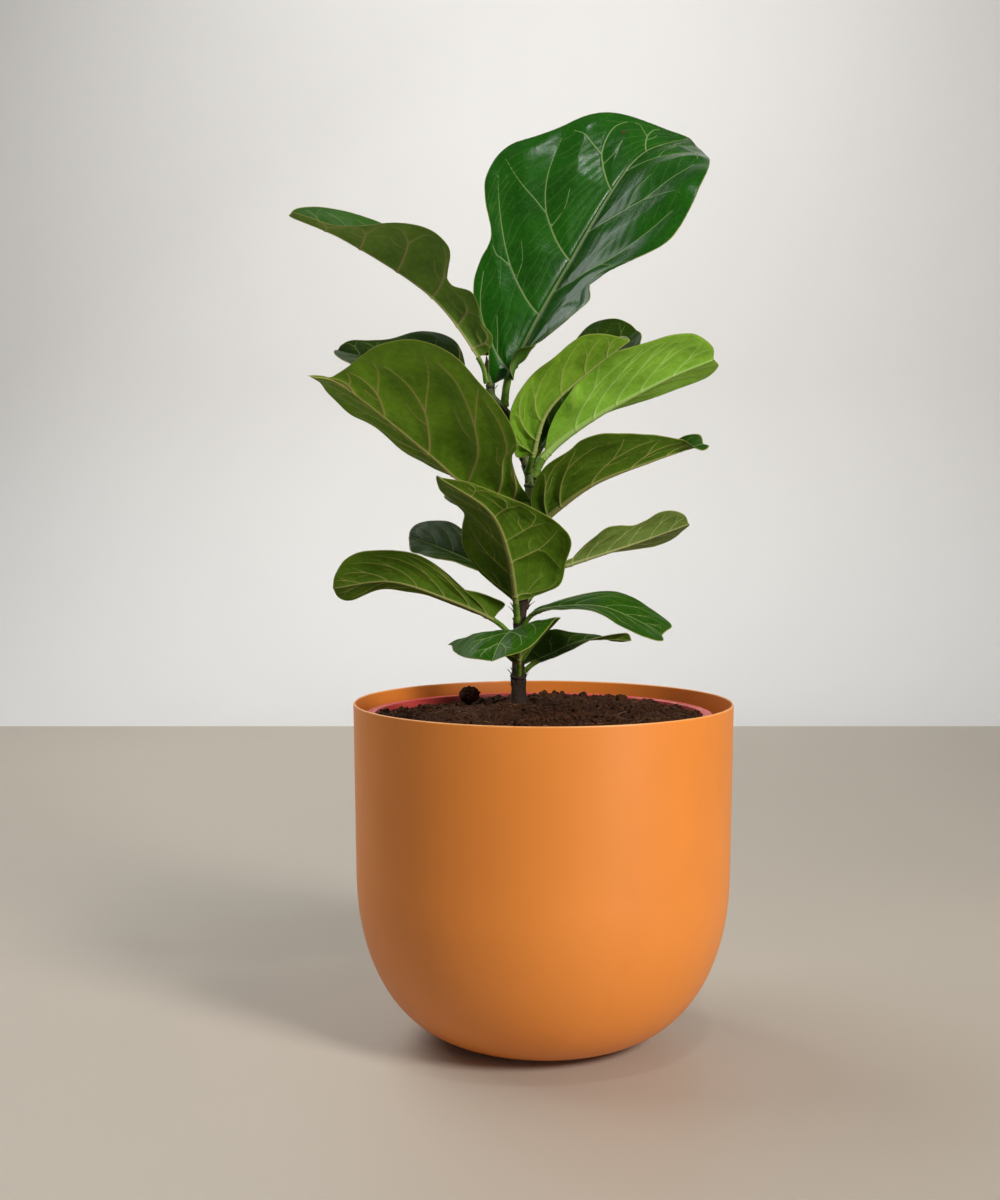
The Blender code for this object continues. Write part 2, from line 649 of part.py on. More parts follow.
def build_clod(name, side, share, half):
    """A rough lump that rests on the soil."""
    turn = math.radians(side)
    reach = share * (LIP_INNER_R - SOIL_GAP) - max(half) * share
    place = (POT_X + reach * math.cos(turn), POT_Y + reach * math.sin(turn))
    shell = bmesh.new()
    bmesh.ops.create_icosphere(shell, subdivisions=2, radius=1.0)
    points = []
    for vertex in shell.verts:
        x, y, z = vertex.co
        rough = 1 + 0.12 * math.sin(4 * x + place[0]) * math.cos(3 * y + 2 * z)
        points.append((place[0] + half[0] * x * rough, place[1] + half[1] * y * rough, half[2] * z * rough))
    faces = [tuple(v.index for v in face.verts) for face in shell.faces]
    shell.free()
    lift = max(soil_height(x, y) - z for x, y, z in points if z < 0)
    raised = [(x, y, z + lift + CLOD_GAP) for x, y, z in points]
    add_object(name, "soil", raised, faces)


for old in list(bpy.data.objects):
    bpy.data.objects.remove(old, do_unlink=True)

build_planter()
build_nursery_pot()
build_soil()
build_stem()
for leaf_name, shape in LEAVES.items():
    add_object(leaf_name, "leaf", *Leaf(**shape).body())
build_bud()
for scale_name, sizes in SCALES.items():
    build_scale(scale_name, *sizes)
for clod_name, sizes in CLODS.items():
    build_clod(clod_name, *sizes)
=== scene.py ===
"""Potted fiddle-leaf fig: the detailed visual model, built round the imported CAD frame."""

import math

import bmesh
import bpy
import numpy as np
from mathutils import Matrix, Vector
from mathutils.kdtree import KDTree


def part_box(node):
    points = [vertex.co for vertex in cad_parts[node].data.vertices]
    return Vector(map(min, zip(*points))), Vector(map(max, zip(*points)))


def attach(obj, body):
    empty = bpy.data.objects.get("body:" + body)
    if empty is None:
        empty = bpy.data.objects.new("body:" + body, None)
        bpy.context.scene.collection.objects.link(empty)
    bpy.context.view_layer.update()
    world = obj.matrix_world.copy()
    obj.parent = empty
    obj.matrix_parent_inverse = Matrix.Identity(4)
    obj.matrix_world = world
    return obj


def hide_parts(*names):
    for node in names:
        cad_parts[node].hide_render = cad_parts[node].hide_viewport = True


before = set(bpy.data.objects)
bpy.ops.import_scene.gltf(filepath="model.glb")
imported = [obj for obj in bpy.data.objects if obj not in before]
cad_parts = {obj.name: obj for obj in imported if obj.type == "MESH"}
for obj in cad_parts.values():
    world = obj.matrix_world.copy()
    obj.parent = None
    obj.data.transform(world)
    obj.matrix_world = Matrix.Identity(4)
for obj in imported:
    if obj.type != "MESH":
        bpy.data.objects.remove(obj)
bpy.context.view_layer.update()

# Lengths are in millimetres here and turn into metres when a mesh is made.
MM = 0.001

# ---------------------------------------------------------------- shared frame
PLANTER_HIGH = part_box("planter")[1]
RIM_R = PLANTER_HIGH.x / MM
HEIGHT = PLANTER_HIGH.z / MM
WALL_R = RIM_R - 1.5
CORNER_H, CORNER_POWER, BASE_R, SHEET = 115.0, 2.2, 42.0, 1.5

POT_LOW, POT_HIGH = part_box("nursery_pot")
POT_X = (POT_LOW.x + POT_HIGH.x) / 2 / MM
LIP_R = (POT_HIGH.x - POT_LOW.x) / 2 / MM
LIP_TOP = POT_HIGH.z / MM
POT_BASE_Z = POT_LOW.z / MM
LIP_WIDTH, LIP_DROP, LIP_THICK, POT_WALL, POT_TAPER = 7.0, 9.0, 1.6, 1.4, 35.0
LIP_INNER_R = LIP_R - LIP_WIDTH
POT_BASE_R = LIP_R - POT_TAPER
SOIL_LEVEL = LIP_TOP - 2.0
SOIL_BASE_Z = POT_BASE_Z + 2.0
FLOOR_Z = -0.3

# Stem axis: x, y, height above the soil, share of the stem's radius.
STEM_R = 4.2
STEM = (
    (-16, 15, -73, 0.6), (-16, 15, -38, 0.9), (-16, 15, 1, 1.03), (-16, 15, 22, 1.0),
    (-16, 15, 42, 0.93), (-14, 15, 76, 0.93), (-11, 15, 109, 0.9), (-8, 15, 136, 0.93),
    (-8, 15, 155, 0.9), (-11, 14, 168, 0.8), (-16, 13, 179, 0.74), (-23, 12, 195, 0.72),
    (-27, 11, 203, 0.67), (-34, 11, 211, 0.6), (-35, 10, 220, 0.52), (-36, 10, 226, 0.42),
)
NODE_HEIGHTS = (23, 49, 60, 75, 87, 117, 140, 151, 164, 198, 215)


# ---------------------------------------------------------------- numbers and noise
def catmull(points, at):
    """Points of a smooth curve through the given ones, at = 0 to 1."""
    p = np.asarray(points, float)
    p = np.vstack([2 * p[0] - p[1], p, 2 * p[-1] - p[-2]])
    spans = len(p) - 3
    t = np.clip(at, 0, 1) * spans
    i = np.minimum(t.astype(int), spans - 1)
    u = (t - i)[:, None]
    a, b, c, d = p[i], p[i + 1], p[i + 2], p[i + 3]
    square = (2 * a - 5 * b + 4 * c - d) * u ** 2
    cube = (3 * b - a - 3 * c + d) * u ** 3
    return 0.5 * (2 * b + (c - a) * u + square + cube)


def unit(v):
    return v / np.maximum(np.linalg.norm(v, axis=-1, keepdims=True), 1e-12)


def smooth(low, high, x):
    t = np.clip((x - low) / (high - low), 0, 1)
    return t * t * (3 - 2 * t)


def lattice(i, seed):
    """Repeatable values from -1 to 1 at whole-number points."""
    i = i.astype(np.int64)
    h = i[..., 0] * 73856093 ^ i[..., 1] * 19349663 ^ i[..., 2] * 83492791 ^ (seed + 11) * 6364136223
    h = (h ^ (h >> 13)) * 1274126177 & 0xFFFFFFFF
    h = (h ^ (h >> 16)) * 73244475 & 0xFFFFFFFF
    return (h ^ (h >> 15)) % 65536 / 32767.5 - 1


def noise(points, size, seed=0, octaves=1):
    """Smooth noise from about -1 to 1 over 3-D points, with features of that size."""
    total, weight = np.zeros(len(points)), 0.0
    for octave in range(octaves):
        p = points / (size / 2 ** octave) + 100
        i = np.floor(p)
        f = p - i
        f = f * f * (3 - 2 * f)
        value = 0
        for corner in range(8):
            step = np.array([corner & 1, corner >> 1 & 1, corner >> 2 & 1])
            share = np.prod(np.where(step, f, 1 - f), axis=-1)
            value = value + share * lattice(i + step, seed + 31 * octave)
        total += value / 2 ** octave
        weight += 1 / 2 ** octave
    return total / weight


def circle(count):
    return np.arange(count) * 2 * math.pi / count


# ---------------------------------------------------------------- meshes
def mesh_object(name, points, faces, attributes=None, material=None):
    """One object from points in millimetres and a list of arrays of faces with equal corners."""
    mesh = bpy.data.meshes.new(name)
    points = np.asarray(points, np.float64) * MM
    mesh.vertices.add(len(points))
    mesh.vertices.foreach_set("co", points.astype(np.float32).ravel())
    faces = [np.asarray(f, np.int32) for f in faces if len(f)]
    corners = np.concatenate([f.ravel() for f in faces])
    sizes = np.concatenate([np.full(len(f), f.shape[1], np.int32) for f in faces])
    mesh.loops.add(len(corners))
    mesh.loops.foreach_set("vertex_index", corners)
    mesh.polygons.add(len(sizes))
    mesh.polygons.foreach_set("loop_start", np.concatenate([[0], np.cumsum(sizes)[:-1]]).astype(np.int32))
    mesh.update(calc_edges=True)
    mesh.validate()
    for key, values in (attributes or {}).items():
        values = np.asarray(values, np.float32)
        kind, field = ("FLOAT", "value") if values.ndim == 1 else ("FLOAT_VECTOR", "vector")
        mesh.attributes.new(key, kind, "POINT").data.foreach_set(field, values.ravel())
    mesh.shade_smooth()
    obj = bpy.data.objects.new(name, mesh)
    bpy.context.scene.collection.objects.link(obj)
    if material:
        mesh.materials.append(material)
    return obj


def loft_faces(rows, count):
    """Quads between rings of count points, ring after ring."""
    a = np.arange(rows - 1)[:, None] * count + np.arange(count)[None]
    b = np.arange(rows - 1)[:, None] * count + (np.arange(count)[None] + 1) % count
    return np.stack([a, b, b + count, a + count], -1).reshape(-1, 4)


def closed_loft(rings, start, end):
    """Points and faces of a closed body: rings is rows x count x 3, with one point at each end."""
    rows, count = rings.shape[:2]
    points = np.vstack([rings.reshape(-1, 3), [start, end]])
    k = np.arange(count)
    after = (k + 1) % count
    last = (rows - 1) * count
    caps = np.concatenate([
        np.stack([np.full(count, rows * count), after, k], -1),
        np.stack([np.full(count, rows * count + 1), last + k, last + after], -1),
    ])
    return points, [loft_faces(rows, count), caps]


def place(obj, node):
    """The piece rides on the part's one body, and the CAD node it stands in for is hidden."""
    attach(obj, "root")
    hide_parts(node)


# ---------------------------------------------------------------- materials
class Nodes:
    """A short way to write a procedural material."""

    def __init__(self, name, **settings):
        self.material = bpy.data.materials.new(name)
        self.material.use_nodes = True
        self.tree = self.material.node_tree
        self.shader = self.tree.nodes["Principled BSDF"]
        for key, value in settings.items():
            self.shader.inputs[key.replace("_", " ")].default_value = value

    def add(self, kind, inputs=None, **properties):
        node = self.tree.nodes.new(kind)
        for key, value in properties.items():
            setattr(node, key, value)
        for key, value in (inputs or {}).items():
            self.feed(node.inputs[key], value)
        return node

    def feed(self, socket, value):
        if isinstance(value, bpy.types.NodeSocket):
            self.tree.links.new(value, socket)
        elif isinstance(value, tuple) and len(value) == 3 and socket.type == "RGBA":
            socket.default_value = (*value, 1)
        else:
            socket.default_value = value

    def set(self, key, value):
        self.feed(self.shader.inputs[key], value)

    def math(self, operation, a, b=0.0, clamp=False):
        return self.add("ShaderNodeMath", {0: a, 1: b}, operation=operation, use_clamp=clamp).outputs[0]

    def times(self, a, b):
        return self.math("MULTIPLY", a, b)

    def span(self, value, low, high, to_low=0.0, to_high=1.0):
        inputs = {"Value": value, "From Min": low, "From Max": high, "To Min": to_low, "To Max": to_high}
        return self.add("ShaderNodeMapRange", inputs, interpolation_type="SMOOTHSTEP").outputs[0]

    def mix(self, a, b, factor):
        node = self.add("ShaderNodeMix", data_type="RGBA")
        self.feed(node.inputs[0], factor)
        self.feed(node.inputs[6], a)
        self.feed(node.inputs[7], b)
        return node.outputs[2]

    def tint(self, base, colour, mask, share):
        """Paint a colour over the base where the mask is, as strongly as the share."""
        return self.mix(base, colour, self.times(mask, share))

    def attribute(self, name, output="Fac"):
        return self.add("ShaderNodeAttribute", attribute_name=name).outputs[output]

    def place(self):
        return self.add("ShaderNodeTexCoord").outputs["Object"]

    def stretch(self, vector, scale):
        return self.add("ShaderNodeMapping", {"Vector": vector, "Scale": scale}).outputs[0]

    def noise(self, vector, scale, detail=3.0, roughness=0.55):
        inputs = {"Vector": vector, "Scale": scale, "Detail": detail, "Roughness": roughness}
        return self.add("ShaderNodeTexNoise", inputs).outputs["Fac"]

    def cells(self, vector, scale):
        inputs = {"Vector": vector, "Scale": scale}
        return self.add("ShaderNodeTexVoronoi", inputs, feature="DISTANCE_TO_EDGE").outputs["Distance"]

    def bump(self, height, distance, strength=1.0, normal=None):
        inputs = {"Height": height, "Distance": distance, "Strength": strength}
        if normal is not None:
            inputs["Normal"] = normal
        return self.add("ShaderNodeBump", inputs).outputs[0]


# ---------------------------------------------------------------- planter and nursery pot
def turned(name, profile, centre_x, segments, material):
    """Revolve a profile (radius, height) whose ends lie on the axis."""
    profile = np.asarray(profile, float)
    turn = circle(segments)
    inner = profile[1:-1]
    rings = np.stack([
        centre_x + inner[:, :1] * np.cos(turn), inner[:, :1] * np.sin(turn),
        np.repeat(inner[:, 1:], segments, axis=1),
    ], -1)
    points, faces = closed_loft(rings, (centre_x, 0, profile[0][1]), (centre_x, 0, profile[-1][1]))
    return mesh_object(name, points, faces, material=material)


def arc(centre, radius, start, end, steps):
    turn = np.radians(np.linspace(start, end, steps))
    return [(centre[0] + radius * math.cos(a), centre[1] + radius * math.sin(a)) for a in turn]


def foot_curve(inset, steps):
    """Height by radius of the planter's foot and wall, moved in by inset along its normal."""
    t = np.linspace(0, math.pi / 2, steps)
    power = 2 / CORNER_POWER
    radius = BASE_R + (WALL_R - BASE_R) * np.sin(t) ** power
    height = CORNER_H * (1 - np.cos(t) ** power)
    up = np.linspace(0, 1, 40)[1:]
    radius = np.append(radius, WALL_R + (RIM_R - WALL_R) * up)
    height = np.append(height, CORNER_H + (HEIGHT - CORNER_H) * up)
    slope_r, slope_z = np.gradient(radius), np.gradient(height)
    slope_r[0], slope_z[0] = 1.0, 0.0
    size = np.hypot(slope_r, slope_z)
    return radius - inset * slope_z / size, height + inset * slope_r / size


def planter_material():
    n = Nodes("powder_coat_orange", Metallic=0.0, IOR=1.5)
    at = n.place()
    cloud = n.noise(at, 7.0, 3.0)
    colour = n.mix((0.76, 0.235, 0.030), (0.82, 0.262, 0.038), n.span(cloud, 0.3, 0.7))
    height = n.add("ShaderNodeSeparateXYZ", {0: at}).outputs[2]
    # The rim's top edge is painted paler: partly worn coating, partly a painted highlight along the edge.
    rim = n.span(height, HEIGHT * MM - 0.0011, HEIGHT * MM - 0.0002)
    patchy = n.noise(at, 90.0, 3.0)
    colour = n.tint(colour, (0.92, 0.42, 0.13), rim, n.span(patchy, 0.3, 0.6, 0.5, 1.0))
    smudge = n.span(n.noise(n.stretch(at, (1, 1, 0.4)), 34.0, 5.0, 0.6), 0.55, 0.75)
    colour = n.tint(colour, (0.70, 0.22, 0.035), smudge, 0.25)
    n.set("Base Color", colour)
    grain = n.noise(at, 1400.0, 2.0)
    peel = n.noise(at, 420.0, 2.0)
    n.set("Roughness", n.math("ADD", n.span(smudge, 0, 1, 0.40, 0.46), n.times(grain, 0.06)))
    n.set("Normal", n.bump(grain, 0.00004, 0.7, n.bump(peel, 0.00006, 0.6)))
    return n.material


def build_planter():
    outer_r, outer_z = foot_curve(0, 90)
    inner_r, inner_z = foot_curve(SHEET, 90)
    keep_out = outer_z < HEIGHT - 1.2
    keep_in = inner_z < HEIGHT - 1.2
    profile = [(0, 0.8), (BASE_R - 8, 0.8), (BASE_R - 7, 0.3), (BASE_R - 5.5, 0)]
    profile += list(zip(outer_r[keep_out], outer_z[keep_out]))
    middle = RIM_R - SHEET / 2
    profile += [(RIM_R, HEIGHT - 0.9)]
    profile += arc((middle, HEIGHT - 0.7), SHEET / 2 - 0.02, 0, 180, 9)
    profile += [(RIM_R - SHEET, HEIGHT - 0.9)]
    profile += list(zip(inner_r[keep_in], inner_z[keep_in]))[::-1] + [(0, SHEET)]
    obj = turned("planter_shell", profile, 0, 256, planter_material())
    place(obj, "planter")


def plastic_material():
    n = Nodes("red_plastic", IOR=1.46, Subsurface_Weight=0.12, Subsurface_Scale=0.002)
    at = n.place()
    streak = n.noise(n.stretch(at, (1, 1, 6)), 30.0, 3.0)
    colour = n.mix((0.60, 0.045, 0.042), (0.70, 0.085, 0.070), n.span(streak, 0.3, 0.7))
    height = n.add("ShaderNodeSeparateXYZ", {0: at}).outputs[2]
    dust = n.span(n.noise(at, 260.0, 6.0, 0.7), 0.50, 0.72)
    low = n.span(height, (LIP_TOP - 9) * MM, (LIP_TOP - 1) * MM, 0.75, 0.22)
    colour = n.tint(colour, (0.11, 0.045, 0.028), dust, low)
    n.set("Base Color", colour)
    scuff = n.noise(n.stretch(at, (1, 1, 0.2)), 500.0, 2.0)
    n.set("Roughness", n.span(n.math("ADD", dust, n.times(scuff, 0.3)), 0.0, 1.0, 0.34, 0.75))
    n.set("Normal", n.bump(scuff, 0.00005, 0.6))
    return n.material


def pot_inner_radius(z):
    rise = (z - POT_BASE_Z) / (LIP_TOP - POT_BASE_Z)
    return POT_BASE_R - POT_WALL + (LIP_INNER_R - POT_BASE_R + POT_WALL) * rise


def build_nursery_pot():
    floor_z = POT_BASE_Z + POT_WALL
    under = LIP_TOP - LIP_DROP
    profile = [(0, POT_BASE_Z), (POT_BASE_R - 6, POT_BASE_Z)]
    profile += arc((POT_BASE_R - 2.2, POT_BASE_Z + 2.2), 2.2, -90, -8, 7)
    wall = np.linspace(POT_BASE_Z + 6, under - 22, 12)
    profile += [(pot_inner_radius(z) + POT_WALL, z) for z in wall]
    for z in (under - 20, under - 14, under - 8):
        r = pot_inner_radius(z) + POT_WALL
        profile += [(r, z), (r + 0.35, z + 0.5), (r + 0.35, z + 1.6), (r, z + 2.1)]
    profile += [(pot_inner_radius(under + 3) + POT_WALL, under + 3)]
    skirt, ceiling = LIP_R - LIP_THICK, LIP_TOP - LIP_THICK
    profile += [(skirt - 1.5, ceiling - 0.2), (skirt, ceiling - 1.0), (skirt, under + 0.4)]
    profile += [(skirt + 0.4, under), (LIP_R - 0.45, under), (LIP_R - 0.1, under + 0.4)]
    profile += arc((LIP_R - 1.6, LIP_TOP - 1.6), 1.6, 0, 90, 8)
    profile += [(LIP_R - 3.2, LIP_TOP - 0.05), (LIP_INNER_R + 2.2, LIP_TOP - 0.05)]
    profile += arc((LIP_INNER_R + 1.0, LIP_TOP - 1.0), 1.0, 90, 180, 7)
    profile += [(pot_inner_radius(z), z) for z in np.linspace(LIP_TOP - 2, floor_z + 3, 24)]
    profile += arc((pot_inner_radius(floor_z) - 2.0, floor_z + 2.0), 2.0, 0, -90, 6) + [(0, floor_z)]
    pot = turned("nursery_pot_shell", profile, POT_X, 192, plastic_material())
    for k in range(6):
        turn = math.pi * (k + 0.5) / 3
        bpy.ops.mesh.primitive_cylinder_add(
            vertices=40, radius=5 * MM, depth=12 * MM,
            location=((POT_X + 55 * math.cos(turn)) * MM, 55 * math.sin(turn) * MM, POT_BASE_Z * MM),
        )
        drill = bpy.context.object
        cut = pot.modifiers.new("drain", "BOOLEAN")
        cut.operation, cut.solver, cut.object = "DIFFERENCE", "EXACT", drill
        graph = bpy.context.evaluated_depsgraph_get()
        made = bpy.data.meshes.new_from_object(pot.evaluated_get(graph))
        pot.modifiers.clear()
        pot.data = made
        bpy.data.objects.remove(drill, do_unlink=True)
    pot.data.shade_smooth()
    pot.data.set_sharp_from_angle(angle=math.radians(38))
    place(pot, "nursery_pot")


# ---------------------------------------------------------------- stem line
def stem_line(steps):
    path = catmull(STEM, np.linspace(0, 1, steps))
    swell = sum(np.exp(-((path[:, 2] - at) / 3.0) ** 2) for at in NODE_HEIGHTS)
    path[:, 3] = path[:, 3] * STEM_R + 0.7 * np.minimum(swell, 1)
    path[:, 2] += SOIL_LEVEL
    return path


STEM_LINE = stem_line(600)


def stem_at(z):
    return [float(np.interp(z, STEM_LINE[:, 2], STEM_LINE[:, k])) for k in (0, 1, 3)]


# ---------------------------------------------------------------- leaves
THICK = 0.55
# How strongly a row of points sweeps forward from the midrib to the margin.
SWEEP = 1.35
# Columns of points beside the midrib, in midrib widths.
RIB_COLUMNS = (0, 0.3, 0.6, 0.9, 1.2, 1.6, 2.1)
# A side vein is four lines (stem, onward fork, backward fork, spur), and the first two are its trunk.
LINES_PER_VEIN, TRUNK_LINES = 4, 2
# How far a blade bulges between its trunks, by look.
BULGE = {"dark": 1.5, "deep_in_shade": 1, "fresh": 1.2, "olive": 2.7, "sage": 2.7}
PLAIN_BULGE = 1.8


def plain_outline(width, base=0.4):
    """A fiddle-shaped half outline: narrow below, widest past the middle, blunt at the tip."""
    return (
        (0.0, width * base * 0.4), (0.05, width * base), (0.2, width * (base + 0.1)),
        (0.4, width * 0.85), (0.58, width), (0.75, width * 0.92), (0.9, width * 0.62),
        (0.97, width * 0.3),
    )


DEFAULT_VEINS = (0.04, 0.16, 0.32, 0.5, 0.68, 0.84)

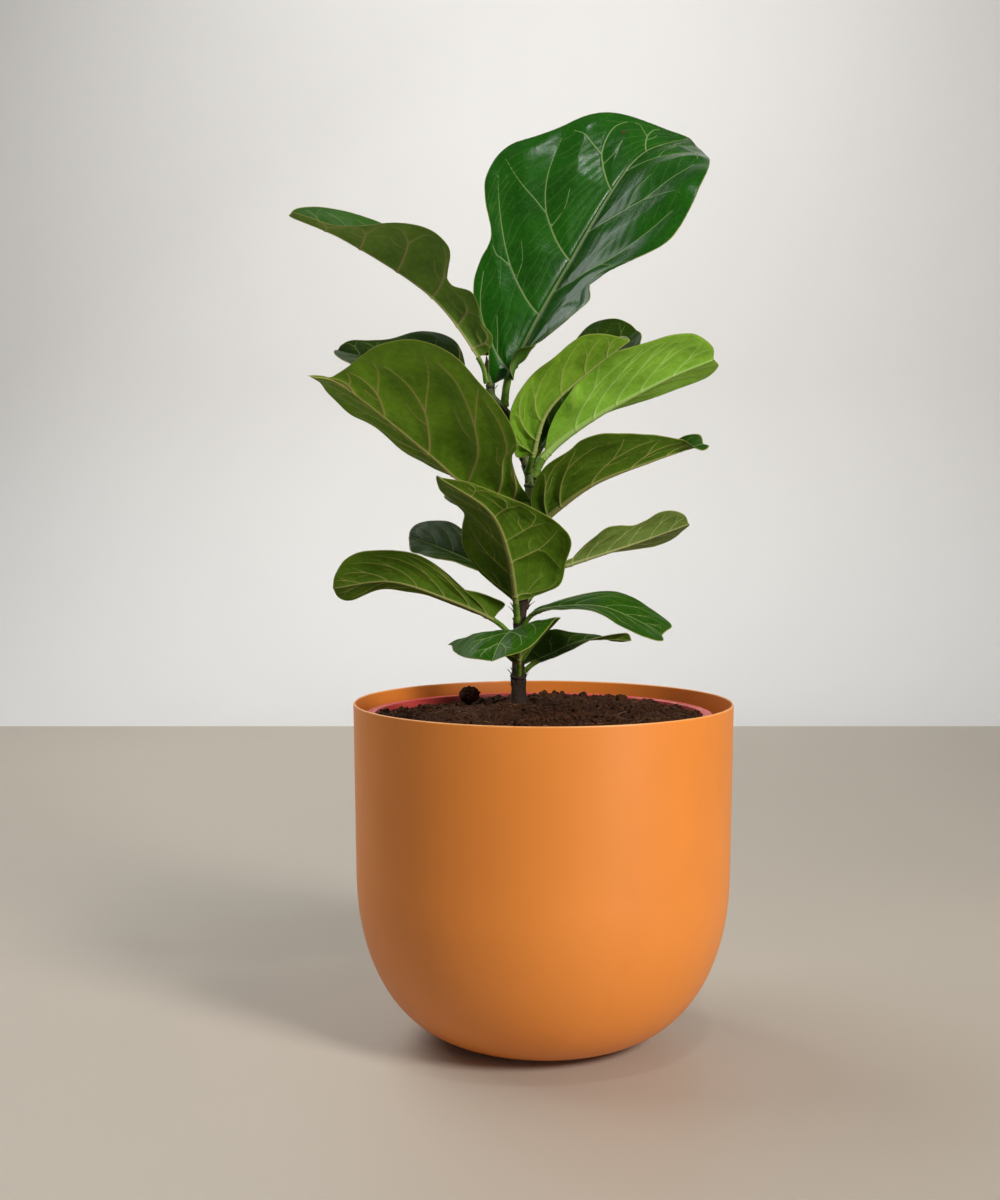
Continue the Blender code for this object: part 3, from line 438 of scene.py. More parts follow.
# Each leaf: midrib path (stem, start of the blade, then to the tip) with heights above the
# soil, the way its upper face looks from base to tip, how far its halves fold up (degrees),
# each half outline as (share of the length, millimetres out), where the side veins leave the
# midrib, how they rake forward, how the halves curl (degrees), and its colours. Also the petiole's
# radius, how wavy the blade is, roll = (side, middle, spread, first millimetre out, degrees per
# millimetre) for a rolled margin, and spot = (share of the length, millimetres out), a brown spot.
LEAVES = {
    "leaf_01": dict(
        path=((-26, 12, 200), (-23, 8, 222), (-13, 10, 242), (-3, 14, 262), (18, 22, 299),
              (47, 34, 349), (70, 50, 378), (104, 82, 395)),
        face=((-0.55, -0.8, 0.15), (-0.55, -0.8, 0.15), (-0.5, -0.8, 0.3), (0.15, -0.35, 0.8)),
        fold=((35, 25), (12, 25), (0, 25)),
        right=((0.0, 12), (0.03, 19), (0.07, 21), (0.11, 19), (0.15, 25), (0.2, 38), (0.25, 47),
               (0.3, 38), (0.34, 39), (0.41, 58), (0.49, 70), (0.61, 70), (0.74, 60), (0.88, 38)),
        left=((-0.02, 10), (0.04, 19), (0.1, 33), (0.19, 49), (0.26, 54), (0.34, 56), (0.43, 72),
              (0.5, 80), (0.6, 79), (0.71, 58), (0.78, 46), (0.88, 24), (0.96, 10)),
        petiole=2.5, rake=(0.93, 0.9),
        veins=((0.04, 0.28, 0.48, 0.7, 0.86), (0.02, 0.2, 0.38, 0.62, 0.8)),
        curl=((-10, 4), (8, 3), (6, 4)), roll=(0, 0.035, 0.05, 8, 15), look="dark", spot=(0.8, -19),
    ),
    "leaf_02": dict(
        path=((-37, 8, 219), (-43, 6, 236), (-73, -5, 274), (-125, -15, 307), (-163, -20, 323)),
        face=((0.65, 0.05, 0.75), (0.5, -0.35, 0.8)),
        fold=((45, 45), (45, 35)),
        right=((-0.02, 11), (0.03, 16), (0.12, 17), (0.2, 15), (0.28, 12), (0.34, 14), (0.41, 24),
               (0.55, 30), (0.66, 27), (0.82, 18), (0.92, 12), (0.985, 6)),
        left=((0, 10), (0.05, 18), (0.12, 18), (0.18, 24), (0.24, 28), (0.3, 20), (0.35, 26),
              (0.37, 40), (0.41, 52), (0.49, 58), (0.59, 50), (0.7, 26), (0.8, 10), (0.9, 7), (0.98, 6)),
        rake=(0.9, 1.6), look="sage", wavy=0.5,
    ),
    "leaf_03": dict(
        path=((-25, 13, 194), (-49, 35, 207), (-83, 55, 229), (-142, 75, 247)),
        face=((0.2, -0.5, 0.85),),
        fold=((15, 15),),
        right=((0, 10), (0.15, 14), (0.28, 24), (0.4, 45), (0.5, 52), (0.6, 47), (0.72, 27),
               (0.85, 18), (0.96, 13), (1.0, 6)),
        left=plain_outline(42), look="deep_in_shade",
    ),
    "leaf_04": dict(
        path=((-8, 18, 163), (-2, 28, 175), (23, 55, 212), (68, 85, 262)),
        face=((-0.45, -0.75, 0.5),),
        fold=((20, 20), (15, 15)),
        right=plain_outline(26),
        left=((0, 8), (0.05, 12), (0.2, 15), (0.4, 22), (0.6, 27), (0.8, 32), (0.92, 31), (1.0, 21),
              (1.02, 9)),
        look="deep_in_shade",
    ),
    "leaf_05": dict(
        path=((-10, 10, 161), (-7, 0, 171), (2, -14, 199), (26, -26, 222), (53, -42, 242)),
        face=((-0.4, 0.6, 0.6),),
        fold=((15, 60),),
        right=((-0.03, 10), (0.11, 17), (0.25, 24), (0.38, 26), (0.52, 27), (0.78, 25),
               (0.89, 18), (0.96, 8)),
        left=plain_outline(27),
        petiole=2.0, veins=((0.02, 0.11, 0.24, 0.45, 0.65, 0.82), DEFAULT_VEINS), rake=(0.85, 1),
        look="young",
    ),
    "leaf_06": dict(
        path=((-8, 14, 145), (0, 16, 170), (29, 14, 194), (77, 6, 220), (111, 0, 234)),
        face=((-0.3, 0.7, 0.6), (-0.3, 0.6, 0.6)),
        fold=((10, 50), (10, 15)),
        right=((0.1, 3), (0.2, 5), (0.26, 10), (0.3, 19), (0.36, 29), (0.47, 34), (0.59, 39),
               (0.68, 36), (0.76, 34), (0.86, 32), (0.95, 26), (1.0, 17), (1.02, 8)),
        left=((0.1, 4), (0.2, 8), (0.32, 16), (0.5, 22), (0.7, 25), (0.85, 25), (0.95, 22), (1.01, 13)),
        petiole=3.1, veins=((0.22, 0.33, 0.46, 0.6, 0.78), DEFAULT_VEINS), rake=(0.62, 0.9),
        look="tender",
    ),
    "leaf_07": dict(
        path=((-9, 13, 139), (-18, 5, 142), (-51, -24, 153), (-74, -45, 172), (-122, -80, 210),
              (-143, -90, 216)),
        face=((0.45, 0.6, 0.6),),
        fold=((25, 10), (20, 10)),
        right=((0, 8), (0.05, 25), (0.16, 32), (0.35, 38), (0.55, 39), (0.67, 48), (0.8, 40),
               (0.89, 26), (0.95, 10)),
        left=((-0.06, 3), (0, 10), (0.09, 20), (0.22, 37), (0.33, 52), (0.43, 63), (0.54, 70),
              (0.64, 73), (0.77, 76), (0.85, 66), (0.89, 46), (0.9, 30), (0.905, 16), (0.912, 7),
              (0.925, 1.5), (0.95, 1.2), (0.98, 1.2)),
        veins=(DEFAULT_VEINS, (0.02, 0.1, 0.25, 0.46, 0.68, 0.82)), rake=(0.9, 0.66), look="olive",
    ),
    "leaf_08": dict(
        path=((-11, 12, 119), (0, 0, 129), (31, -18, 152), (69, -26, 167), (102, -22, 178)),
        face=((-0.35, 0.3, 0.9), (-0.34, 0.27, 0.9), (-0.34, 0.25, 0.92), (-0.33, 0.22, 0.92),
              (-0.32, 0.2, 0.93), (-0.32, 0.18, 0.94), (-0.31, 0.15, 0.94), (-0.3, 0.1, 0.95),
              (-0.35, -1.2, 0.5)),
        fold=((40, 40), (40, 40), (40, 40), (40, 40), (20, 20)),
        right=((0, 10), (0.08, 20), (0.24, 31), (0.37, 34), (0.44, 38), (0.52, 37), (0.6, 31),
               (0.7, 23), (0.83, 14), (0.92, 10), (0.98, 7), (1.02, 4)),
        left=((0, 8), (0.06, 16), (0.16, 23), (0.3, 27), (0.45, 29), (0.6, 28), (0.75, 22),
              (0.86, 15), (0.94, 10), (1.0, 6)),
        petiole=2.7,
        veins=((0.04, 0.14, 0.35, 0.58, 0.78), DEFAULT_VEINS), rake=(0.65, 0.9), look="shaded",
    ),
    "leaf_09": dict(
        path=((-11, 20, 116), (-32, 35, 126), (-63, 60, 143)),
        face=((0.2, -0.3, 1), (0.2, -0.2, 1)),
        fold=((20, 20),),
        right=plain_outline(22),
        left=plain_outline(22), look="deep_in_shade",
    ),
    "leaf_10": dict(
        path=((-12, 20, 89), (16, 30, 98), (64, 40, 113), (101, 46, 126)),
        face=((-0.1, 0.55, 0.8), (0, 0.6, 0.8)),
        fold=((20, 20),),
        right=((0, 3), (0.1, 5), (0.17, 10), (0.25, 17), (0.34, 21), (0.45, 18), (0.57, 14),
               (0.67, 16), (0.78, 19), (0.9, 15), (0.98, 8)),
        left=((0, 3), (0.12, 4), (0.24, 6), (0.4, 10), (0.55, 15), (0.7, 22), (0.84, 27),
              (0.94, 25), (1.0, 17), (1.02, 7)),
        look="pale",
    ),
    "leaf_11": dict(
        path=((-14, 20, 82), (-30, 38, 91), (-60, 60, 105), (-93, 86, 117)),
        face=((0.1, -0.7, 0.7), (0.1, -0.6, 0.8)),
        fold=((15, 5), (10, 5)),
        right=((0, 6), (0.2, 12), (0.4, 17), (0.55, 20), (0.68, 24), (0.8, 26), (0.9, 25),
               (0.99, 21), (1.055, 14), (1.06, 8), (1.03, 3)),
        left=((0, 4), (0.2, 6), (0.33, 8), (0.42, 10), (0.53, 14), (0.64, 15), (0.72, 14.5),
              (0.8, 15.5), (0.86, 12), (0.92, 7), (0.97, 3)),
        look="deep_in_shade",
    ),
    "leaf_12": dict(
        path=((-14, 16, 71), (-8, 45, 76), (4, 105, 85)),
        face=((0, -0.2, 1), (0, 0.2, 1)),
        fold=((20, 20),),
        right=plain_outline(14),
        left=plain_outline(24), look="deep_in_shade",
    ),
    "leaf_13": dict(
        path=((-17, 12, 61), (-18, 4, 75), (-23, -20, 107), (-35, -60, 135), (-64, -118, 155)),
        face=((0, 0.8, 0.6), (0.3, 0.6, 0.7)),
        fold=((20, 20),),
        right=((0.02, 7), (0.07, 17), (0.14, 27), (0.24, 33), (0.36, 30), (0.48, 24),
               (0.59, 24), (0.72, 23), (0.88, 14)),
        left=((-0.01, 8), (0, 21), (0.03, 32), (0.13, 37), (0.22, 42), (0.32, 37), (0.46, 24),
              (0.65, 12), (0.85, 7)),
        petiole=2.1,
        veins=((0.03, 0.14, 0.29, 0.5, 0.72), (0.03, 0.21, 0.34, 0.52, 0.75)),
        rake=(1.0, 1.4), look="shaded",
    ),
    "leaf_14": dict(
        path=((-14, 12, 57), (-6, 6, 67), (10, -2, 72), (38, -20, 73), (64, -38, 63),
              (74, -46, 57)),
        face=((0, -0.3, 1), (0.1, -0.3, 1), (0.3, -0.3, 1)),
        fold=((0, 12), (0, 15), (0, 8)),
        right=((0, 4), (0.1, 5), (0.2, 8), (0.35, 12), (0.5, 15), (0.65, 18), (0.8, 21), (0.93, 21),
               (1.04, 16), (1.07, 9), (1.02, 3)),
        left=((0, 4), (0.1, 5), (0.2, 8), (0.3, 14), (0.44, 22), (0.6, 23), (0.74, 21),
              (0.88, 19), (0.96, 14)),
        veins=(DEFAULT_VEINS, (0.05, 0.17, 0.3, 0.53, 0.7, 0.85)), rake=(0.8, 0.75), look="fresh",
    ),
    "leaf_15": dict(
        path=((-18, 14, 49), (-33, 6, 63), (-63, 0, 77), (-100, -8, 89), (-137, -14, 85)),
        face=((0.3, 0.8, 0.6), (0.1, 0.7, 0.7)),
        fold=((15, 15),),
        right=((0, 5), (0.08, 6), (0.21, 6), (0.41, 6), (0.54, 9), (0.75, 14), (0.9, 19), (0.97, 14)),
        left=((0, 14), (0.07, 14), (0.15, 13), (0.26, 11), (0.36, 15), (0.45, 20), (0.57, 24),
              (0.73, 25), (0.82, 24), (0.91, 19), (0.98, 9)),
        rake=(1.0, 0.55), look="shaded",
    ),
    "leaf_16": dict(
        path=((-16, 12, 25), (-16, 2, 35), (-16, -22, 51), (-20, -58, 61), (-28, -87, 56),
              (-33, -105, 46)),
        face=((-0.2, 0.5, 0.8), (-0.25, 0, 1), (-0.25, -0.6, 0.8)),
        fold=((12, 12), (-6, -3)),
        right=((0, 5), (0.1, 12), (0.22, 21), (0.33, 31), (0.41, 38), (0.49, 42), (0.57, 43),
               (0.67, 39), (0.8, 33), (0.92, 24), (0.99, 12)),
        left=((0, 5), (0.1, 11), (0.2, 17), (0.3, 23), (0.42, 28), (0.52, 30), (0.62, 29),
              (0.75, 28), (0.88, 23), (0.97, 12)),
        look="fresh",
    ),
    "leaf_17": dict(
        path=((-13, 14, 27), (-3, 20, 34), (23, 34, 45), (40, 44, 47), (63, 56, 45)),
        face=((0, -0.75, 0.7), (0, -0.7, 0.7), (0, -0.1, 1), (0, 0.7, 0.7)),
        fold=((35, 10), (25, 10), (15, 10)),
        right=((0, 5), (0.15, 7), (0.3, 7), (0.45, 7), (0.6, 7), (0.8, 9), (0.93, 6)),
        left=((-0.14, 4), (-0.12, 8), (0, 13), (0.1, 16), (0.2, 17), (0.32, 16), (0.45, 10),
              (0.6, 8), (0.8, 10), (0.93, 6)),
        look="deep_in_shade",
    ),
}


class Blade:
    """A leaf's shape: flat places on it are (distance from the blade's base, distance out)."""

    def __init__(self, name, path, face, fold, right, left, petiole=1.7, curl=((10, 10),),
                 veins=(DEFAULT_VEINS, DEFAULT_VEINS), rake=(0.9, 0.9), look="dark", wavy=1.0,
                 roll=None, spot=None):
        self.name, self.petiole, self.veins, self.rake, self.look = name, petiole, veins, rake, look
        self.seed, self.wavy, self.roll = int(name[-2:]), wavy, roll
        path = np.asarray(path, float) + (0, 0, SOIL_LEVEL)
        self.curve = catmull(path, np.linspace(0, 1, 600))
        run = np.append(0, np.cumsum(np.linalg.norm(np.diff(self.curve, axis=0), axis=1)))
        self.run = run - run[np.argmin(np.linalg.norm(self.curve - path[1], axis=1))]
        self.length = self.run[-1]
        self.spot = (spot[0] * self.length * MM, spot[1] * MM, 0) if spot else None
        self.along = unit(np.gradient(self.curve, axis=0))
        self.face = np.asarray(face, float)
        self.fold = np.radians(np.asarray(fold, float))
        self.curl = np.radians(np.asarray(curl, float))
        self.margins = [self.margin(half) for half in (right, left)]
        self.widest = [max(m[:, 2].max(), 1) for m in self.margins]

    def margin(self, half):
        line = catmull([(0, self.petiole * 0.9), *half, (1, 0)], np.linspace(0, 1, 500))
        line[:, 1] = line[:, 1].clip(0)
        run = np.append(0, np.cumsum(np.hypot(np.diff(line[:, 0]) * self.length, np.diff(line[:, 1]))))
        return np.column_stack([run / run[-1], line, run])

    def axes(self, s):
        centre = np.stack([np.interp(s, self.run, self.curve[:, k]) for k in range(3)], -1)
        along = unit(np.stack([np.interp(s, self.run, self.along[:, k]) for k in range(3)], -1))
        share = np.clip(s / self.length, 0, 1)
        at = np.linspace(0, 1, len(self.face))
        face = np.stack([np.interp(share, at, self.face[:, k]) for k in range(3)], -1)
        normal = unit(face - (face * along).sum(-1, keepdims=True) * along)
        centre = centre + along * np.maximum(s - self.length, 0)[..., None]
        return centre, along, normal, np.cross(along, normal)

    def surface(self, s, out, side):
        """Points and upper normals of the blade; side is 0 for the right half and 1 for the left."""
        centre, _, normal, right = self.axes(s)
        share = np.clip(s / self.length, 0, 1)
        fold = np.interp(share, np.linspace(0, 1, len(self.fold)), self.fold[:, side])
        curl = np.interp(share, np.linspace(0, 1, len(self.curl)), self.curl[:, side])
        width = self.widest[side] * 0.8
        start = fold + curl
        bend = 2 * curl / width
        bend = np.where(np.abs(bend) < 1e-6, 1e-6, bend)
        end = start - bend * out
        across = (np.sin(start) - np.sin(end)) / bend
        up = (np.cos(end) - np.cos(start)) / bend
        if self.roll and self.roll[0] == side:
            _, middle, spread, start_out, rate = self.roll
            turn = np.radians(rate) * np.exp(-((share - middle) / spread) ** 2)
            grid = np.linspace(0, 1, 25)[:, None] * out
            angle = start - bend * grid + turn * (grid - start_out).clip(0)
            across = np.cos(angle).mean(0) * out
            up = np.sin(angle).mean(0) * out
            end = angle[-1]
        sign = 1 - 2 * side
        point = centre + (sign * across)[..., None] * right + up[..., None] * normal
        return point, np.cos(end)[..., None] * normal - (sign * np.sin(end))[..., None] * right

    def reach(self, x, side):
        """Where row x meets the margin: share of the length, width, distance round the margin."""
        m = self.margins[side]
        e = np.clip(x, 0, 1) ** self.rake[side]
        return [np.interp(e, m[:, 0], m[:, k]) for k in (1, 2, 3)]

    def flat(self, x, q, side):
        """Flat place of row x at the share q from the midrib to the margin."""
        end, width, _ = self.reach(x, side)
        s = self.length * (x ** 2 + (end - x ** 2) * np.asarray(q) ** SWEEP)
        return s, width * q

    def rib(self, s):
        return self.petiole * (0.2 + 0.8 * (1 - np.clip(s / self.length, 0, 1)) ** 1.25)

    def rows(self, spacing):
        """Rows from base to tip, closer beside the side veins, with one on each of them."""
        x = np.linspace(0.0, 0.994, 3000)
        steps = np.abs(np.diff(x ** 2)) * self.length
        for side in (0, 1):
            steps = np.maximum(steps, np.abs(np.diff(self.reach(x, side)[2])) * 0.85)
        marks = sorted({math.sqrt(m) for half in self.veins for m in half})
        cost = steps / spacing
        away = np.append(0, np.cumsum(steps))
        for mark in marks:
            at = np.interp(mark, x, away)
            cost = cost * (1 + 1.1 * np.exp(-((away[1:] - at) / 2.0) ** 2))
        total = np.append(0, np.cumsum(cost))
        count = int(total[-1]) + 2
        rows = np.interp(np.linspace(0, total[-1], count), total, x)
        for mark in marks:
            rows[1 + np.argmin(np.abs(rows[1:-1] - mark))] = mark
        return np.unique(rows)

    def vein_lines(self, side):
        """Side veins as (flat points, half widths): each arches near the margin to the next."""
        marks = [math.sqrt(m) for m in self.veins[side]]
        size = np.clip(self.widest[side] / 55, 0.45, 1.1)
        rng = np.random.default_rng(self.seed * 10 + side)
        lines = []

        def draw(knots, wide, narrow, steps=90):
            path = catmull(knots, np.linspace(0, 1, steps))
            s, out = self.flat(path[:, 0].clip(0, 1), path[:, 1].clip(0, 1), side)
            s, out = [v.ravel() for v in (s, out)]
            lines.append((np.column_stack([s, out]), np.linspace(wide, narrow, len(s)) * size))

        for k, mark in enumerate(marks):
            after = marks[k + 1] if k + 1 < len(marks) else (1 + mark) / 2
            before = marks[k - 1] if k else mark * 0.35
            gap, back = after - mark, mark - before
            fork = 0.44 + 0.16 * rng.random()
            bow = 0.05 * (rng.random() - 0.4)
            meet = 0.86 + 0.05 * rng.random()
            draw([(mark, 0), (mark + bow * gap, fork * 0.5), (mark, fork)], 1.05 - 0.35 * mark, 0.66)
            draw([(mark, fork), (mark + 0.08 * gap, fork + 0.14), (mark + 0.2 * gap, fork + 0.27),
                  (mark + 0.42 * gap, meet)], 0.6, 0.3)
            draw([(mark, fork), (mark - 0.1 * back, fork + 0.13), (mark - 0.25 * back, fork + 0.28),
                  (mark - 0.4 * back, meet + 0.02)], 0.48, 0.28)
            draw([(mark + 0.02 * gap, fork * 0.75), (mark + 0.3 * gap, fork * 0.8),
                  (mark + 0.44 * gap, fork)], 0.34, 0.26)
        return lines

    def cross_lines(self, side):
        """Thin veins that run across from one side vein to the next, like rungs."""
        marks = [math.sqrt(m) for m in self.veins[side]] + [0.97]
        rng = np.random.default_rng(self.seed * 10 + side + 5)
        lines = []
        for mark, after in zip(marks[:-1], marks[1:]):
            width = float(self.reach(np.array([mark]), side)[1][0])
            q = 0.1 + 0.05 * rng.random()
            while q < 0.93:
                if rng.random() < 0.6:
                    first, last = 0.0, 1.0
                elif rng.random() < 0.5:
                    first, last = 0.0, 0.6
                else:
                    first, last = 0.45, 1.0
                lift = 0.05 * (rng.random() - 0.5)
                knots = [(mark + f * (after - mark), q + lift * f + 0.03 * (rng.random() - 0.5))
                         for f in np.linspace(first, last, 5)]
                path = catmull(knots, np.linspace(0, 1, 60))
                s, out = self.flat(path[:, 0].clip(0, 1), path[:, 1].clip(0, 1), side)
                lines.append((np.column_stack([s, out]), np.full(60, 0.2)))
                q += (3.6 + 3.0 * rng.random()) / max(width, 8)
        return lines

    def vein_field(self, s, out, lines):
        """Signed and plain distance to the nearest of these veins, and that vein's half width."""
        at = np.vstack([p for p, _ in lines])
        way = np.vstack([unit(np.gradient(p, axis=0)) for p, _ in lines])
        wide = np.concatenate([w for _, w in lines])
        tree = KDTree(len(at))
        for k, p in enumerate(at):
            tree.insert((p[0], p[1], 0), k)
        tree.balance()
        near = np.array([tree.find((a, b, 0))[1] for a, b in zip(s, out)])
        gap = np.column_stack([s, out]) - at[near]
        signed = way[near, 0] * gap[:, 1] - way[near, 1] * gap[:, 0]
        return signed, np.hypot(gap[:, 0], gap[:, 1]), wide[near]

    def edge_field(self, s, out, side):
        m = self.margins[side]
        tree = KDTree(len(m))
        for k, p in enumerate(m):
            tree.insert((p[1] * self.length, p[2], 0), k)
        tree.balance()
        return np.array([tree.find((a, b, 0))[2] for a, b in zip(s, out)])

    def build(self, spacing, material):
        x = self.rows(spacing)
        rows = len(x)
        ribs = len(RIB_COLUMNS) - 1
        columns = ribs + max(int(max(self.widest) / (spacing * 1.15)), 8)
        middle = self.length * x ** 2
        rib = self.rib(middle)
        halves = []
        for side in (1, 0):
            end, width, _ = self.reach(x, side)
            fit = np.minimum(1, width / (3.2 * rib))
            near = np.asarray(RIB_COLUMNS)[None] * rib[:, None] * fit[:, None]
            share = np.linspace(0, 1, columns - ribs + 1)[1:]
            out = np.hstack([near, near[:, -1:] + (width[:, None] - near[:, -1:]) * share])
            q = out / np.maximum(width[:, None], 1e-9)
            s = middle[:, None] + (end * self.length - middle)[:, None] * q ** SWEEP
            shape = s.shape
            s, out = s.ravel(), out.ravel()
            point, normal = self.surface(s, out, side)
            lines = self.vein_lines(side)
            signed, away, wide = self.vein_field(s, out, lines)
            trunks = [line for k, line in enumerate(lines) if k % LINES_PER_VEIN < TRUNK_LINES]
            trunk_away = self.vein_field(s, out, trunks)[1]
            rung, rung_away, _ = self.vein_field(s, out, self.cross_lines(side))
            edge = self.edge_field(s, out, side)
            if side == 1:
                signed, rung = -signed, -rung
            halves.append([v.reshape(*shape, *v.shape[1:]) for v in
                           (s, out * (1 - 2 * side), point, normal, signed, away, wide, edge, rung, rung_away,
                            trunk_away)])
        left, right = halves
        joined = [np.concatenate([a[:, ::-1], b[:, 1:]], axis=1) for a, b in zip(left, right)]
        s, out, point, normal, signed, away, wide, edge, rung, rung_away, trunk_away = joined
        top, under = self.relief(s, out, point, normal, away, wide, edge, rib, rung_away, trunk_away)
        rim = self.margin_roll(point, normal)
        count = s.shape[1]
        ring = np.concatenate([top, rim[:, 1:2], under[:, ::-1], rim[:, 0:1]], axis=1)
        around = 2 * count + 2
        stalk, stalk_s = self.stalk(around)
        rings = np.concatenate([stalk, ring])
        tip = self.axes(np.array([self.length + 0.25]))[0][0]
        points, faces = closed_loft(rings, stalk[0].mean(0), tip)

        def spread(values, stalk_value, rims=None):
            """Values of both faces and the rims, after one value for the whole petiole."""
            rims = values[:, [0, -1]] if rims is None else rims
            body = np.concatenate([values, rims[:, 1:2], values[:, ::-1], rims[:, 0:1]], axis=1)
            lead = np.full((len(stalk), around), stalk_value, float)
            return np.append(np.concatenate([lead, body]).ravel(), [stalk_value, values[-1].mean()])

        is_top = np.zeros((len(rings), around))
        is_top[:, :count] = 1
        is_top[:, count] = is_top[:, -1] = 0.5
        flat_s = spread(s, 0)
        flat_s[:len(stalk) * around] = np.repeat(stalk_s, around)
        flat_out = spread(out, 0)
        turn = np.tile(np.linspace(0, 6, around), len(stalk))
        flat_out[:len(turn)] = turn
        stalk_part = np.zeros(len(points))
        stalk_part[:len(turn)] = 1
        attributes = {
            "top": np.append(is_top.ravel(), [1, 1]),
            "vein_signed": spread(signed / wide, 9),
            "vein_away": spread(away / wide, 9),
            "rib": spread(out / rib[:, None], 0),
            "edge": spread(edge, 9, np.zeros((rows, 2))),
            "rung_signed": spread(rung, 9),
            "rung_away": spread(rung_away, 9),
            "stalk": stalk_part,
            "leaf_flat": np.column_stack([flat_s, flat_out, np.zeros(len(points))]) * MM,
        }
        return mesh_object(self.name + "_visual", points, faces, attributes, material)

    def relief(self, s, out, point, normal, away, wide, edge, rib, rung_away, trunk_away):
        """Upper and lower surface: side veins and midrib stand out below and sink in above."""
        size = np.clip(max(self.widest) / 60, 0.3, 1.0)
        beside = np.abs(out) - rib[:, None] * 0.8
        near = np.minimum(away, np.maximum(beside, 0) * 0.7)
        hollow = np.minimum(trunk_away, np.maximum(beside, 0) * 0.7)
        inside = smooth(-2, 9 * size + 2, edge)
        soft = BULGE.get(self.look, PLAIN_BULGE)
        puff = 1.9 * soft * size * (1 - np.exp(-(hollow / (10 * size + 2)) ** 1.8)) * inside
        pucker = 1.5 * (1 - np.exp(-(near / 3.0) ** 2)) * np.exp(-(np.maximum(s, 0) / 28) ** 2) * inside
        cell = np.minimum(rung_away, near)
        quilt = 0.17 * size * (1 - np.exp(-(cell / 1.9) ** 2)) * inside
        place3 = np.stack([s, out, np.full_like(s, self.seed * 50)], -1).reshape(-1, 3)
        swell = noise(place3, 34 * size + 6, self.seed, 2).reshape(s.shape)
        wave = noise(place3, 30 * size + 8, self.seed + 40).reshape(s.shape) * smooth(20 * size + 3, 0, edge)
        off_rib = smooth(0, 14 * size + 3, np.abs(out))
        body = quilt + pucker + self.wavy * (puff + (2.6 * swell + 3.4 * wave) * size * off_rib)
        share = np.clip(np.abs(out) / (rib[:, None] * 0.8), 0, 4)
        ridge = np.exp(-share ** 2)
        vein = np.exp(-(away / (wide * 1.15)) ** 2) * smooth(0, 2.0, edge)
        half = THICK / 2 * (0.55 + 0.45 * smooth(0, 1.5, edge))
        start = np.exp(-(np.maximum(s, 0) / 7.0) ** 2)
        up = half + ridge * rib[:, None] * start * 0.95
        up = up - (0.34 * wide * vein + 0.3 * np.exp(-((share - 1.7) / 0.7) ** 2)) * (1 - start)
        rung = np.exp(-(rung_away / 0.5) ** 2) * smooth(0, 2.0, edge)
        down = half + ridge * rib[:, None] * 0.95 + vein * wide * 0.8 + 0.1 * rung
        top = point + normal * (body + up)[..., None]
        under = point + normal * (body - down)[..., None]
        self.body = body
        return top, under

    def margin_roll(self, point, normal):
        """The rim's outermost points, which round the edge over."""
        found = []
        for last, inner in ((0, 1), (-1, -2)):
            way = unit(point[:, last] - point[:, inner])
            found.append(point[:, last] + normal[:, last] * self.body[:, last][:, None] + way * THICK * 0.3)
        return np.stack(found, axis=1)

    def stalk(self, count):
        """Round rings of the petiole, from inside the stem to the blade."""
        away = np.linalg.norm(self.curve[:, None] - STEM_LINE[None, ::4, :3], axis=2)
        near = np.argmin(away, axis=1)
        inside = away[np.arange(len(near)), near] < STEM_LINE[::4][near, 3] * 0.7
        inside &= self.run < 0
        begin = self.run[np.where(inside)[0][-1]] if inside.any() else self.run[0]
        steps = max(int((0 - begin) / 1.2), 4)
        s = np.linspace(begin, -0.4, steps)
        centre, _, normal, right = self.axes(s)
        first = s - begin
        radius = self.petiole * (1 + 0.22 * np.exp(-(first / 4.5) ** 2))
        radius = radius * (1 + 0.03 * np.sin(s * 1.9 + self.seed))
        blade = count // 2 - 1
        upper = math.pi * (1 - (np.arange(blade) + 0.5) / blade)
        turn = np.concatenate([upper, [0.0], -upper[::-1], [math.pi]])
        groove = 1 - 0.16 * np.exp(-((np.abs(turn - math.pi / 2)) / 0.45) ** 2)
        reach = radius[:, None] * groove[None]
        rings = centre[:, None] + reach[..., None] * (
            np.cos(turn)[None, :, None] * right[:, None] + np.sin(turn)[None, :, None] * normal[:, None]
        )
        return rings, s


